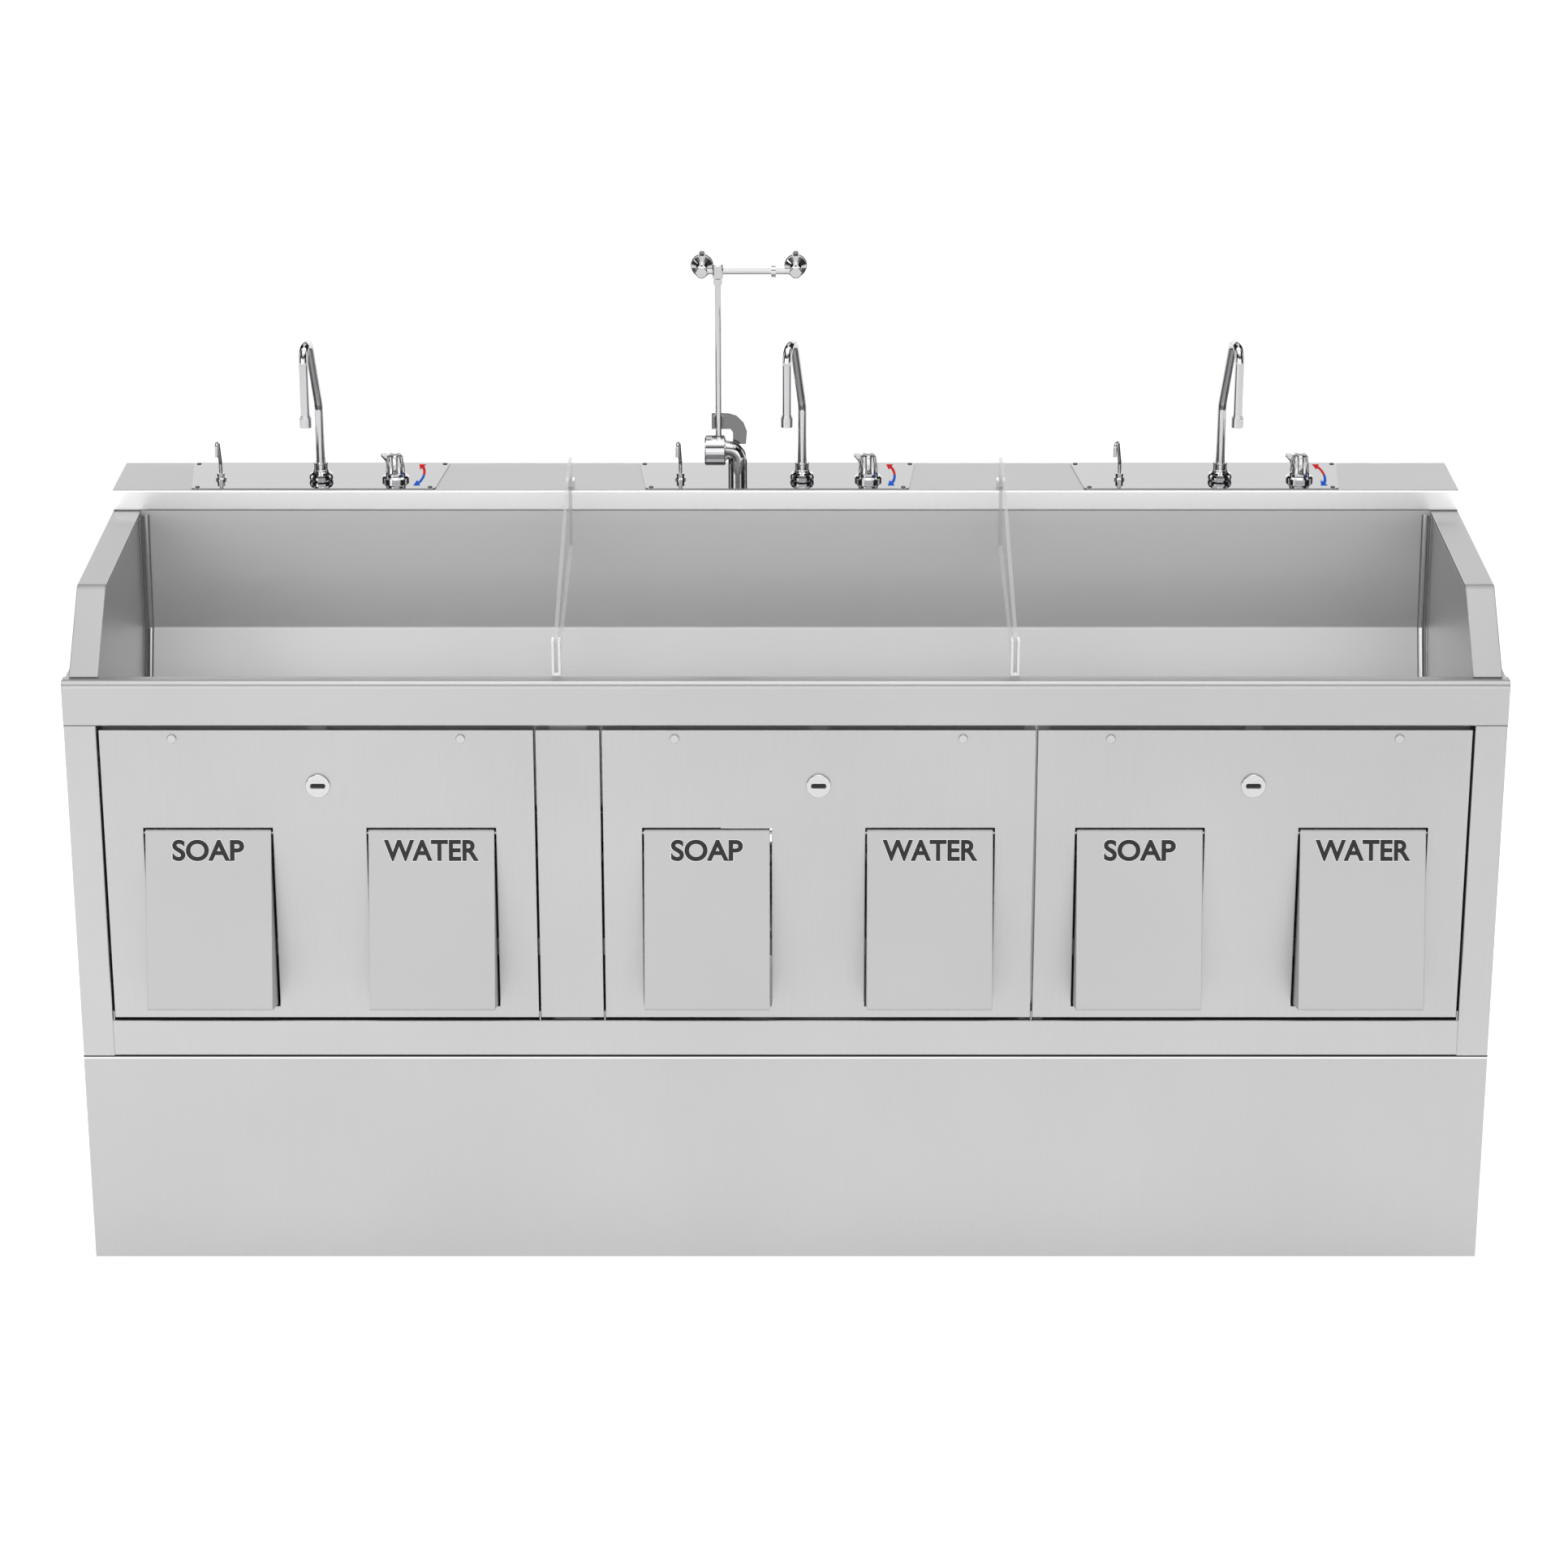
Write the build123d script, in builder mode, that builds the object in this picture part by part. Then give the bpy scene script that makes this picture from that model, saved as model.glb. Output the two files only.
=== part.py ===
from build123d import *

import os
from math import asin, cos, degrees, radians, sin, sqrt, tan

# A three-station knee-operated scrub sink on a closed cabinet and plinth, with deck fittings
# and a swing-down eyewash. Millimetres, +Z up, the floor at z = 0, the front towards -Y.

# ---- overall sizes ----
overall_width = 2286.0
body_depth = 711.0
rim_height = 1007.0
deck_height = 1161.0
base_height = 364.0
pedal_reach = 79.0

# ---- sheet metal and fits ----
sheet = 1.5
bend = 3.0
running_fit = 0.05
face_clearance = 0.3

# ---- trough, splashes and rear deck ----
rim_depth = 26.5
rim_roll = 12.0
apron_height = 74.0
apron_return = 15.0
splash_inset = 10.0
splash_width = 46.0
splash_foot = 20.0
splash_knee_depth = 145.0
splash_knee_rise = 113.0
deck_depth = 168.0
nosing_height = 36.0
nosing_return = 14.0
deck_back_flange = 60.0
basin_depth = 250.0
front_wall_foot = 80.0
wall_bend_drop = 203.0
wall_lean = 13.0
facet_angle = 67.0
drain_radius = 44.0

# ---- cabinet ----
post_width = 51.5
post_depth = 40.0
tube_wall = 2.0
tube_corner = 3.0
rail_height = 62.0
door_sill = 6.0
door_head = 7.0
door_gap = 4.0
door_depth = 20.0
filler_width = 101.0
mullion_width = 60.0
slim_mullion_width = 40.0
mullion_back = 36.0
valve_rail_front = 50.0
valve_rail_size = 30.0
leg_size = 40.0
leg_inset = 70.0
foot_radius = 25.0
foot_stem_radius = 6.0
leg_clearance = 40.0

# ---- door fittings ----
pivot_set_in = 6.0
pivot_rise = 5.0
pivot_radius = 3.0
pivot_reach = 8.0
lock_drop = 93.0
lock_radius = 19.5
lock_stem_radius = 9.0
tongue_length = 45.0
tongue_depth = 27.0
strap_lap = 17.0
stud_margin = 115.0
stud_drop = 14.0

# ---- knee pedals and what they push ----
pedal_width = 201.0
pedal_length = 291.0
pedal_margin = 65.0
pedal_web = 19.0
pedal_clearance = 3.0
pedal_tuck = 6.0
hinge_drop = 8.0
hinge_set_in = 8.0
hinge_radius = 3.0
tab_drop = 185.0
tab_end = 21.5
plunger_radius = 5.0
plunger_travel = 23.0

# ---- deck fittings ----
fixture_set_back = 59.0
plate_thickness = 1.5
plate_margin = 5.0
plate_flare = 15.0
plate_corner = 8.0
screw_inset = 9.0
spout_radius = 7.75
spout_reach = 125.0
spout_top = 258.0
spout_kink = 130.0
spout_lean = 72.0
aerator_bottom = 127.0
aerator_radius = 10.5
aerator_height = 19.0
spout_shift = (-62.0, 28.0, 11.0)
spout_turn = (4.0, 12.0, -6.0)
soap_turn = (3.0, 8.0, 20.0)
soap_offset = (-170.0, -206.0, -170.0)
knob_offset = (126.0, 112.0, 135.0)
plate_reach = ((-221.0, 204.0), (-271.0, 187.0), (-240.0, 203.0))
soap_tube_radius = 3.0
soap_tube_height = 70.0
knob_radius = 17.0
knob_height = 37.0
knob_flange_radius = 23.0
divider_thickness = 6.0

# ---- eyewash ----
eyewash_offset = -109.0
eyewash_elbow_radius = 16.0
eyewash_axis_height = 52.0
eyewash_valve_radius = 26.0
eyewash_valve_length = 35.0
pole_radius = 5.5
pole_offset = -32.0
pole_height = 308.0
head_span = 157.0
head_offset = -27.0
cup_radius = 18.0
cup_setback = 30.0

# ---- plumbing ----
waste_rise = 156.0
waste_radius = 19.05
trap_drop = 80.0
header_tube = 21.0
end_cap = 8.0
tube_rise = 66.0
bottle_width = 110.0
bottle_depth = 80.0
bottle_height = 110.0
neck_height = 20.0
bottle_set_in = 170.0
header_radius = 11.0
branch_radius = 9.0
branch_length = 20.0
hot_rise = 196.0
cold_rise = 116.0
inlet_offset = 90.0

# ---- worked out from the sizes above ----
half_width = overall_width / 2
front_y = -(body_depth - pedal_reach) / 2
apron_bottom = rim_height - apron_height
super_half = half_width - splash_inset
inner_half = super_half - splash_width
deck_front = body_depth - deck_depth
nosing_bottom = deck_height - nosing_height
floor_height = rim_height - basin_depth
wall_bend_height = nosing_bottom - wall_bend_drop
wall_bend_depth = deck_front - wall_lean
floor_back = wall_bend_depth - (wall_bend_height - floor_height) / tan(radians(facet_angle))
bay_width = 2 * inner_half / 3
bay_x = [-bay_width, 0.0, bay_width]
knee_height = rim_height + splash_knee_rise

rail_top = base_height + rail_height
door_bottom = rail_top + door_sill
door_top = apron_bottom - door_head
door_width = (overall_width - 2 * post_width - filler_width - 5 * door_gap) / 3
door_1_left = -half_width + post_width + door_gap
filler_left = door_1_left + door_width + door_gap
door_2_left = filler_left + filler_width + door_gap
door_3_left = door_2_left + door_width + door_gap
door_x = [left + door_width / 2 for left in (door_1_left, door_2_left, door_3_left)]
slim_mullion_x = door_3_left - door_gap / 2
pivot_height = door_bottom + pivot_rise
lock_height = door_top - lock_drop

pedal_tilt = asin(pedal_reach / pedal_length)
pedal_slope = tan(pedal_tilt)
pedal_back_bottom = door_bottom + pedal_web + pedal_clearance
pedal_bottom = pedal_back_bottom + (pedal_reach + pedal_tuck) * pedal_slope
pedal_top = pedal_bottom + pedal_length * cos(pedal_tilt)
pedal_shift = door_width / 2 - pedal_margin - pedal_width / 2
soap_pedal_x = [x - pedal_shift for x in door_x]
water_pedal_x = [x + pedal_shift for x in door_x]
hinge_height = pedal_top - hinge_drop
tab_height = hinge_height - tab_drop
plunger_tip = tab_end + face_clearance
valve_front = plunger_tip + plunger_travel + 2
valve_back = valve_front + 50
valve_rail_top = tab_height - 15

fixture_depth = deck_front + fixture_set_back
fixture_y = front_y + fixture_depth
plate_top = deck_height + plate_thickness
spout_x = [x + shift for x, shift in zip(bay_x, spout_shift)]
soap_x = [x + offset for x, offset in zip(spout_x, soap_offset)]
knob_x = [x + offset for x, offset in zip(spout_x, knob_offset)]
eyewash_x = spout_x[1] + eyewash_offset
eyewash_z = plate_top + eyewash_axis_height
valve_right = eyewash_x - eyewash_elbow_radius - 4
pole_x = eyewash_x + pole_offset
head_x = [pole_x + head_offset, pole_x + head_offset + head_span]
head_z = eyewash_z + pole_height
divider_x = [-bay_width / 2, bay_width / 2]
waste_height = base_height + waste_rise
hot_height = base_height + hot_rise
cold_height = base_height + cold_rise
inlet_start = fixture_depth + header_radius + branch_length


# ---- helpers that draw in the open builder ----
def side_plane(x):
    """A plane across the sink at x: its first axis is the depth behind the cabinet's front."""
    return Plane(origin=(x, front_y, 0), x_dir=(0, 1, 0), z_dir=(1, 0, 0))


def block(x, depth, z, mode=Mode.ADD):
    """A rectangular block between two widths, two depths behind the front and two heights."""
    centre = ((x[0] + x[1]) / 2, front_y + (depth[0] + depth[1]) / 2, (z[0] + z[1]) / 2)
    with Locations(centre):
        Box(x[1] - x[0], depth[1] - depth[0], z[1] - z[0], mode=mode)


def across(x, points, mode=Mode.ADD):
    """A closed outline of (depth, height) points, extruded from one width to the other."""
    with BuildSketch(side_plane(x[0])) as outline:
        with BuildLine():
            Polyline(*points, close=True)
        make_face()
    extrude(outline.sketch, amount=x[1] - x[0], mode=mode)


def folded(x, points, radii, side):
    """A folded sheet whose face follows (depth, height) points, between two widths."""
    with BuildSketch(side_plane(x[0])) as profile:
        with BuildLine():
            FilletPolyline(*points, radius=radii)
            offset(amount=sheet, side=side)
        make_face()
    extrude(profile.sketch, amount=x[1] - x[0])


def turned(x, y, z, points, mode=Mode.ADD):
    """A closed outline of (radius, height) points, turned about the upright line through x, y."""
    with BuildSketch(Plane(origin=(x, y, z), x_dir=(1, 0, 0), z_dir=(0, -1, 0))) as outline:
        with BuildLine():
            Polyline(*points, close=True)
        make_face()
    revolve(outline.sketch, axis=Axis((x, y, z), (0, 0, 1)), mode=mode)


def disc_between(plane, radius, length, mode):
    """A round bar that starts on a plane and runs along its normal."""
    with BuildSketch(plane) as disc:
        Circle(radius)
    extrude(disc.sketch, amount=length, mode=mode)


def rod(x, depth, z, radius, mode=Mode.ADD):
    """A round bar that runs from front to back between two depths."""
    plane = Plane(origin=(x, front_y + depth[0], z), x_dir=(1, 0, 0), z_dir=(0, 1, 0))
    disc_between(plane, radius, depth[1] - depth[0], mode)


def cross_rod(x, depth, z, radius, mode=Mode.ADD):
    """A round bar that runs from side to side between two widths."""
    plane = Plane(origin=(x[0], front_y + depth, z), x_dir=(0, 1, 0), z_dir=(1, 0, 0))
    disc_between(plane, radius, x[1] - x[0], mode)


def upright(x, y, z, radius, mode=Mode.ADD):
    """A round bar that stands between two heights."""
    disc_between(Plane(origin=(x, y, z[0])), radius, z[1] - z[0], mode)


def pipe(points, radius, bend_radius, wall=0.0):
    """A round tube along straight runs joined by bends; solid where no wall is given."""
    with BuildLine() as route:
        FilletPolyline(*points, radius=bend_radius)
    with BuildSketch(Plane(origin=route.line @ 0, z_dir=route.line % 0)) as ring:
        Circle(radius)
        if wall:
            Circle(radius - wall, mode=Mode.SUBTRACT)
    sweep(ring.sketch, path=route.line)


def hex_nut(x, y, z, across_flats, bore=0.0):
    """A hexagon nut between two heights."""
    with BuildSketch(Plane(origin=(x, y, z[0]))) as hexagon:
        RegularPolygon(across_flats / 2, 6, major_radius=False)
        if bore:
            Circle(bore, mode=Mode.SUBTRACT)
    extrude(hexagon.sketch, amount=z[1] - z[0])


def save(part, label):
    part.label = label
    export_step(part, f"parts/{label}.step")


def save_group(parts, label):
    """Pieces that touch but stay separate solids share one file."""
    save(Compound(children=[solid for part in parts for solid in part.solids()]), label)


# ---- trough, splashes, apron and deck ----
def splash_line():
    """The top edge of a side splash, from its foot on the rim back under the deck's nosing."""
    return [
        (splash_foot, rim_height + sheet),
        (splash_knee_depth, knee_height),
        (deck_front + sheet, nosing_bottom),
    ]


def trough_line():
    """The inner face of the trough, from the front rim round to the deck's nosing."""
    return [
        (rim_depth, rim_height - sheet),
        (rim_depth, rim_height - rim_roll - bend),
        (front_wall_foot, floor_height),
        (floor_back, floor_height),
        (wall_bend_depth, wall_bend_height),
        (deck_front + 2, nosing_bottom),
    ]


trough_radii = [6, 25, 25, 12]


def make_basin():
    with BuildPart() as basin:
        folded((-inner_half - sheet, inner_half + sheet), trough_line(), trough_radii, Side.RIGHT)
        slope = splash_knee_rise / (splash_knee_depth - splash_foot)
        front_top = rim_height + (rim_depth - splash_foot) * slope - 2 * sheet
        for x in (-inner_half - sheet, inner_half):
            with BuildSketch(side_plane(x)):
                with BuildLine():
                    wall = FilletPolyline(*trough_line(), radius=trough_radii)
                    Polyline(
                        wall @ 1,
                        (deck_front - 2, nosing_bottom - 3 * sheet),
                        (splash_knee_depth, knee_height - 3 * sheet),
                        (rim_depth, front_top),
                        wall @ 0,
                    )
                make_face()
            extrude(amount=sheet)
        drain_depth = front_y + (front_wall_foot + floor_back) / 2
        for x in bay_x:
            upright(x, drain_depth, (floor_height - 20, floor_height + 20), drain_radius, Mode.SUBTRACT)
    save(basin.part, "basin")


def make_front_apron():
    outline = [
        (rim_depth, rim_height),
        (0, rim_height),
        (0, apron_bottom),
        (apron_return, apron_bottom),
    ]
    with BuildPart() as front_apron:
        folded((-half_width, half_width), outline, [rim_roll, bend], Side.LEFT)
        for x in (-half_width, half_width - sheet):
            with BuildSketch(side_plane(x)):
                with BuildLine():
                    nose = FilletPolyline(*outline, radius=[rim_roll, bend])
                    Polyline(
                        nose @ 1,
                        (apron_return, rim_height - rim_roll),
                        (rim_depth, rim_height - rim_roll),
                        nose @ 0,
                    )
                make_face()
            extrude(amount=sheet)
    save(front_apron.part, "front_apron")


def make_side_splashes():
    with BuildPart() as side_splashes:
        for low, skin in ((inner_half, super_half - sheet), (-super_half, -super_half)):
            folded((low, low + splash_width), splash_line(), 20, Side.RIGHT)
            back = body_depth - sheet
            across(
                (skin, skin + sheet),
                [
                    (rim_depth, rim_height - apron_height / 2),
                    (rim_depth, rim_height + (rim_depth - splash_foot) * 0.8),
                    (splash_knee_depth + 4, knee_height - sheet),
                    (deck_front + nosing_return, nosing_bottom - sheet),
                    (deck_front + nosing_return, nosing_bottom + sheet),
                    (back, nosing_bottom + sheet),
                    (back, rim_height - apron_height / 2),
                ],
            )
    save(side_splashes.part, "side_splashes")


def make_rear_deck():
    outline = [
        (deck_front + nosing_return, nosing_bottom),
        (deck_front, nosing_bottom),
        (deck_front, deck_height),
        (body_depth, deck_height),
        (body_depth, deck_height - deck_back_flange),
    ]
    hole_top = (nosing_bottom, deck_height + bend)
    with BuildPart() as rear_deck:
        folded((-super_half, super_half), outline, bend, Side.RIGHT)
        for x in (-super_half, super_half - sheet):
            block(
                (x, x + sheet),
                (deck_front + sheet, body_depth - sheet),
                (nosing_bottom + sheet, deck_height - sheet),
            )
        for spout, soap, knob in zip(spout_x, soap_x, knob_x):
            upright(spout, fixture_y, hole_top, 11, Mode.SUBTRACT)
            upright(soap, fixture_y, hole_top, 5, Mode.SUBTRACT)
            upright(knob, fixture_y, hole_top, 16, Mode.SUBTRACT)
        upright(eyewash_x, fixture_y, hole_top, 12, Mode.SUBTRACT)
    save(rear_deck.part, "rear_deck")


def plate_corners(station, inset=0.0):
    """The plate's corners, front left first: it is a little wider along its back edge."""
    low, high = (spout_x[station] + reach for reach in plate_reach[station])
    near = front_y + deck_front + plate_margin + inset
    far = front_y + body_depth - plate_margin - inset
    half = plate_flare / 2
    return [
        (low + half + inset, near), (high - half - inset, near),
        (high + half - inset, far), (low - half + inset, far),
    ]


def make_deck_plates():
    holes = (deck_height - 1, plate_top + 1)
    with BuildPart() as deck_plates:
        for station in range(3):
            with BuildSketch(Plane.XY.offset(deck_height)) as outline:
                Polygon(*plate_corners(station), align=None)
                fillet(outline.vertices(), plate_corner)
            extrude(amount=plate_thickness)
            upright(spout_x[station], fixture_y, holes, 11, Mode.SUBTRACT)
            upright(soap_x[station], fixture_y, holes, 5, Mode.SUBTRACT)
            upright(knob_x[station], fixture_y, holes, 16, Mode.SUBTRACT)
        upright(eyewash_x, fixture_y, holes, 12, Mode.SUBTRACT)
    save(deck_plates.part, "deck_plates")


def make_deck_screws():
    with BuildPart() as deck_screws:
        for station in range(3):
            for x, y in plate_corners(station, screw_inset):
                turned(x, y, plate_top, [(0, 0), (4, 0), (3.6, 1.2), (2, 1.8), (0, 1.8)])
    save(deck_screws.part, "deck_screws")


def make_dividers():
    with BuildPart() as dividers:
        for x in divider_x:
            low = x - divider_thickness / 2
            across(
                (low, low + divider_thickness),
                [
                    (rim_depth + 2, rim_height + 2),
                    (rim_depth + 2, rim_height + 70),
                    (deck_front - 60, deck_height + 50),
                    (deck_front + 26, deck_height + 50),
                    (deck_front + 26, deck_height + 1),
                    (deck_front - 3, deck_height + 1),
                    (deck_front - 3, nosing_bottom - 60),
                    (deck_front - 40, nosing_bottom - 60),
                    (rim_depth + 40, rim_height + 2),
                ],
            )
    save(dividers.part, "dividers")


def make_divider_clips():
    gap = divider_thickness / 2
    with BuildPart() as divider_clips:
        for x in divider_x:
            for side in (-1, 1):
                cheek = sorted((x + side * gap, x + side * (gap + 4)))
                block(cheek, (deck_front + 3, deck_front + 22), (deck_height, deck_height + 16))
                block(cheek, (rim_depth - 6, rim_depth + 12), (rim_height, rim_height + 62))
            base = (x - gap - 4, x + gap + 4)
            block(base, (rim_depth - 6, rim_depth + 1.5), (rim_height, rim_height + 8))
    save(divider_clips.part, "divider_clips")


def make_drain_strainers():
    depth = (front_wall_foot + floor_back) / 2
    y = front_y + depth
    with BuildPart() as drain_strainers:
        for x in bay_x:
            upright(x, y, (floor_height, floor_height + 2), drain_radius + 6)
            upright(x, y, (floor_height - 42, floor_height), drain_radius - 1)
            upright(x, y, (floor_height - 38, floor_height + 2), drain_radius - 5, Mode.SUBTRACT)
            upright(x, y, (floor_height - 6, floor_height - 4), drain_radius - 5)
            with BuildSketch(Plane.XY.offset(floor_height - 7)):
                with Locations((x, y)):
                    with PolarLocations(24, 12):
                        Circle(4)
                    with PolarLocations(12, 6):
                        Circle(3.5)
            extrude(amount=4, mode=Mode.SUBTRACT)
            upright(x, y, (floor_height - 43, floor_height - 30), 17, Mode.SUBTRACT)
            upright(x, y, (floor_height - 6, floor_height + 8), 4)
    save(drain_strainers.part, "drain_strainers")


# ---- cabinet and base ----
def make_front_frame():
    bars = []
    for x in (-half_width, half_width - post_width):
        with BuildPart() as post:
            block((x, x + post_width), (0, post_depth), (base_height, apron_bottom))
            fillet(post.edges().filter_by(Axis.Z), tube_corner)
            hollow = (x + tube_wall, x + post_width - tube_wall)
            inside = (tube_wall, post_depth - tube_wall)
            block(hollow, inside, (base_height + tube_wall, apron_bottom - tube_wall), Mode.SUBTRACT)
        bars.append(post.part)
    inner = half_width - post_width
    with BuildPart() as bottom_rail:
        block((-inner, inner), (0, post_depth), (base_height, rail_top))
        fillet(bottom_rail.edges().filter_by(Axis.X), tube_corner)
        inside = (base_height + tube_wall, rail_top - tube_wall)
        block((-inner, inner), (tube_wall, post_depth - tube_wall), inside, Mode.SUBTRACT)
    bars.append(bottom_rail.part)
    mullions = (
        (filler_left + filler_width / 2, mullion_width, door_depth),
        (slim_mullion_x, slim_mullion_width, door_depth + sheet),
    )
    for x, width, front in mullions:
        across_bar = (x - width / 2, x + width / 2)
        with BuildPart() as mullion:
            block(across_bar, (front, mullion_back), (rail_top, apron_bottom))
            hollow = (x - width / 2 + tube_wall, x + width / 2 - tube_wall)
            inside = (front + tube_wall, mullion_back - tube_wall)
            block(hollow, inside, (rail_top + tube_wall, apron_bottom - tube_wall), Mode.SUBTRACT)
        bars.append(mullion.part)
        with BuildPart() as standoff:
            height = (valve_rail_top - valve_rail_size, valve_rail_top)
            block(across_bar, (mullion_back, valve_rail_front), height)
        bars.append(standoff.part)
    bar_back = apron_return + 8
    with BuildPart() as top_bar:
        end = half_width - sheet
        block((-end, end), (apron_return, bar_back), (apron_bottom, apron_bottom + 40))
    bars.append(top_bar.part)
    for x in door_x:
        with BuildPart() as strap:
            span = (lock_height + strap_lap, apron_bottom + 32)
            block((x - 15, x + 15), (bar_back, bar_back + 2), span)
        bars.append(strap.part)
    with BuildPart() as valve_rail:
        end = half_width - sheet
        depth = (valve_rail_front, valve_rail_front + valve_rail_size)
        block((-end, end), depth, (valve_rail_top - valve_rail_size, valve_rail_top))
        hollow = (valve_rail_front + tube_wall, valve_rail_front + valve_rail_size - tube_wall)
        height = (valve_rail_top - valve_rail_size + tube_wall, valve_rail_top - tube_wall)
        block((-end, end), hollow, height, Mode.SUBTRACT)
    bars.append(valve_rail.part)
    save_group(bars, "front_frame")


def make_side_panels():
    back = body_depth
    top = rim_height - 7
    with BuildPart() as side_panels:
        for side in (-1, 1):
            skin = sorted((side * (half_width - sheet), side * half_width))
            flange = sorted((side * super_half, side * half_width))
            across(
                skin,
                [
                    (post_depth, base_height),
                    (post_depth, apron_bottom),
                    (rim_depth, apron_bottom),
                    (rim_depth, top),
                    (back, top),
                    (back, base_height),
                ],
            )
            block(flange, (rim_depth, back), (top - sheet, top))
            block(flange, (back - sheet, back), (base_height, top))
    save(side_panels.part, "side_panels")


def make_back_panel():
    depth = (body_depth - sheet, body_depth)
    with BuildPart() as back_panel:
        block((-super_half, super_half), depth, (0, deck_height - deck_back_flange))
        opening = (base_height + 76, base_height + 236)
        width = (-inlet_offset - 25, inlet_offset + 25)
        block(width, (body_depth - 2 * sheet, body_depth + sheet), opening, Mode.SUBTRACT)
    save(back_panel.part, "back_panel")


def make_base_panels():
    lip = 20
    end = half_width - sheet
    with BuildPart() as front:
        block((-half_width, half_width), (0, sheet), (0, base_height))
        block((-end, end), (sheet, lip), (base_height - sheet, base_height))
        top_edges = front.edges().filter_by(Axis.X).group_by(Axis.Z)[-1]
        fillet(top_edges.sort_by(Axis.Y)[0], bend)
        block((-end, end), (sheet, lip), (0, sheet))
    panels = [front.part]
    for side in (-1, 1):
        skin = sorted((side * end, side * half_width))
        flange = sorted((side * (end - lip), side * end))
        corner = sorted((side * super_half, side * half_width))
        with BuildPart() as panel:
            block(skin, (sheet, body_depth), (0, base_height))
            block(flange, (lip, body_depth - sheet), (base_height - sheet, base_height))
            block(flange, (lip, body_depth - sheet), (0, sheet))
            block(corner, (body_depth - sheet, body_depth), (0, base_height))
        panels.append(panel.part)
    save_group(panels, "base_panels")


def make_cabinet_floor():
    end = half_width - sheet
    with BuildPart() as cabinet_floor:
        block((-end, end), (post_depth, body_depth - sheet), (base_height, base_height + sheet))
    save(cabinet_floor.part, "cabinet_floor")


def leg_spots():
    depths = (post_depth + leg_size / 2, body_depth - leg_inset)
    return [(x, depth) for x in (leg_inset - half_width, 0, half_width - leg_inset) for depth in depths]


def make_base_legs():
    half = leg_size / 2
    top = base_height
    with BuildPart() as base_legs:
        for x, depth in leg_spots():
            block((x - half, x + half), (depth - half, depth + half), (leg_clearance, top))
            inner = half - tube_wall
            hollow = (leg_clearance + 6, top - tube_wall)
            block((x - inner, x + inner), (depth - inner, depth + inner), hollow, Mode.SUBTRACT)
            bore = foot_stem_radius + running_fit
            upright(x, front_y + depth, (leg_clearance - 1, leg_clearance + 7), bore, Mode.SUBTRACT)
    save(base_legs.part, "base_legs")


def make_levelling_feet():
    with BuildPart() as levelling_feet:
        for x, depth in leg_spots():
            y = front_y + depth
            turned(x, y, 0, [(0, 0), (foot_radius, 0), (foot_radius, 4), (12, 12), (0, 12)])
            upright(x, y, (12, leg_clearance + 30), foot_stem_radius)
            hex_nut(x, y, (leg_clearance - 10, leg_clearance), 19)
    save(levelling_feet.part, "levelling_feet")


def make_filler_panel():
    left, right = filler_left, filler_left + filler_width
    with BuildPart() as filler_panel:
        block((left, right), (0, door_depth), (door_bottom, door_top))
        hollow = (door_bottom + sheet, door_top - sheet)
        block((left + sheet, right - sheet), (sheet, door_depth), hollow, Mode.SUBTRACT)
    save(filler_panel.part, "filler_panel")


def make_door_pivots():
    """Each lug stands on the rail in the gap beside a door and carries the pins it turns on."""
    half = door_gap / 4
    gaps = [
        (door_1_left - door_gap / 2, (1,)),
        (filler_left - door_gap / 2, (-1,)),
        (door_2_left - door_gap / 2, (1,)),
        (slim_mullion_x, (-1, 1)),
        (door_3_left + door_width + door_gap / 2, (-1,)),
    ]
    with BuildPart() as door_pivots:
        for x, sides in gaps:
            block((x - half, x + half), (0, 2 * pivot_set_in), (rail_top, pivot_height + pivot_set_in))
            for side in sides:
                reach = sorted((x, x + side * (door_gap / 2 + pivot_reach)))
                cross_rod(reach, pivot_set_in, pivot_height, pivot_radius)
    save(door_pivots.part, "door_pivots")


# ---- doors and their fittings ----
def make_access_door(number):
    left = (door_1_left, door_2_left, door_3_left)[number - 1]
    right = left + door_width
    middle = door_x[number - 1]
    cut_half = pedal_width / 2 + pedal_clearance
    with BuildPart() as door:
        block((left, right), (0, door_depth), (door_bottom, door_top))
        hollow = (door_bottom + sheet, door_top - sheet)
        block((left + sheet, right - sheet), (sheet, door_depth), hollow, Mode.SUBTRACT)
        for x in (middle - pedal_shift, middle + pedal_shift):
            cut = (pedal_back_bottom - pedal_clearance, pedal_top + pedal_clearance)
            block((x - cut_half, x + cut_half), (-1, door_depth), cut, Mode.SUBTRACT)
        rod(middle, (-1, 3), lock_height, lock_stem_radius + 3 + running_fit, Mode.SUBTRACT)
        bore = pivot_radius + running_fit
        cross_rod((left - 1, left + 3), pivot_set_in, pivot_height, bore, Mode.SUBTRACT)
        cross_rod((right - 3, right + 1), pivot_set_in, pivot_height, bore, Mode.SUBTRACT)
    save(door.part, f"access_door_{number}")


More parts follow.
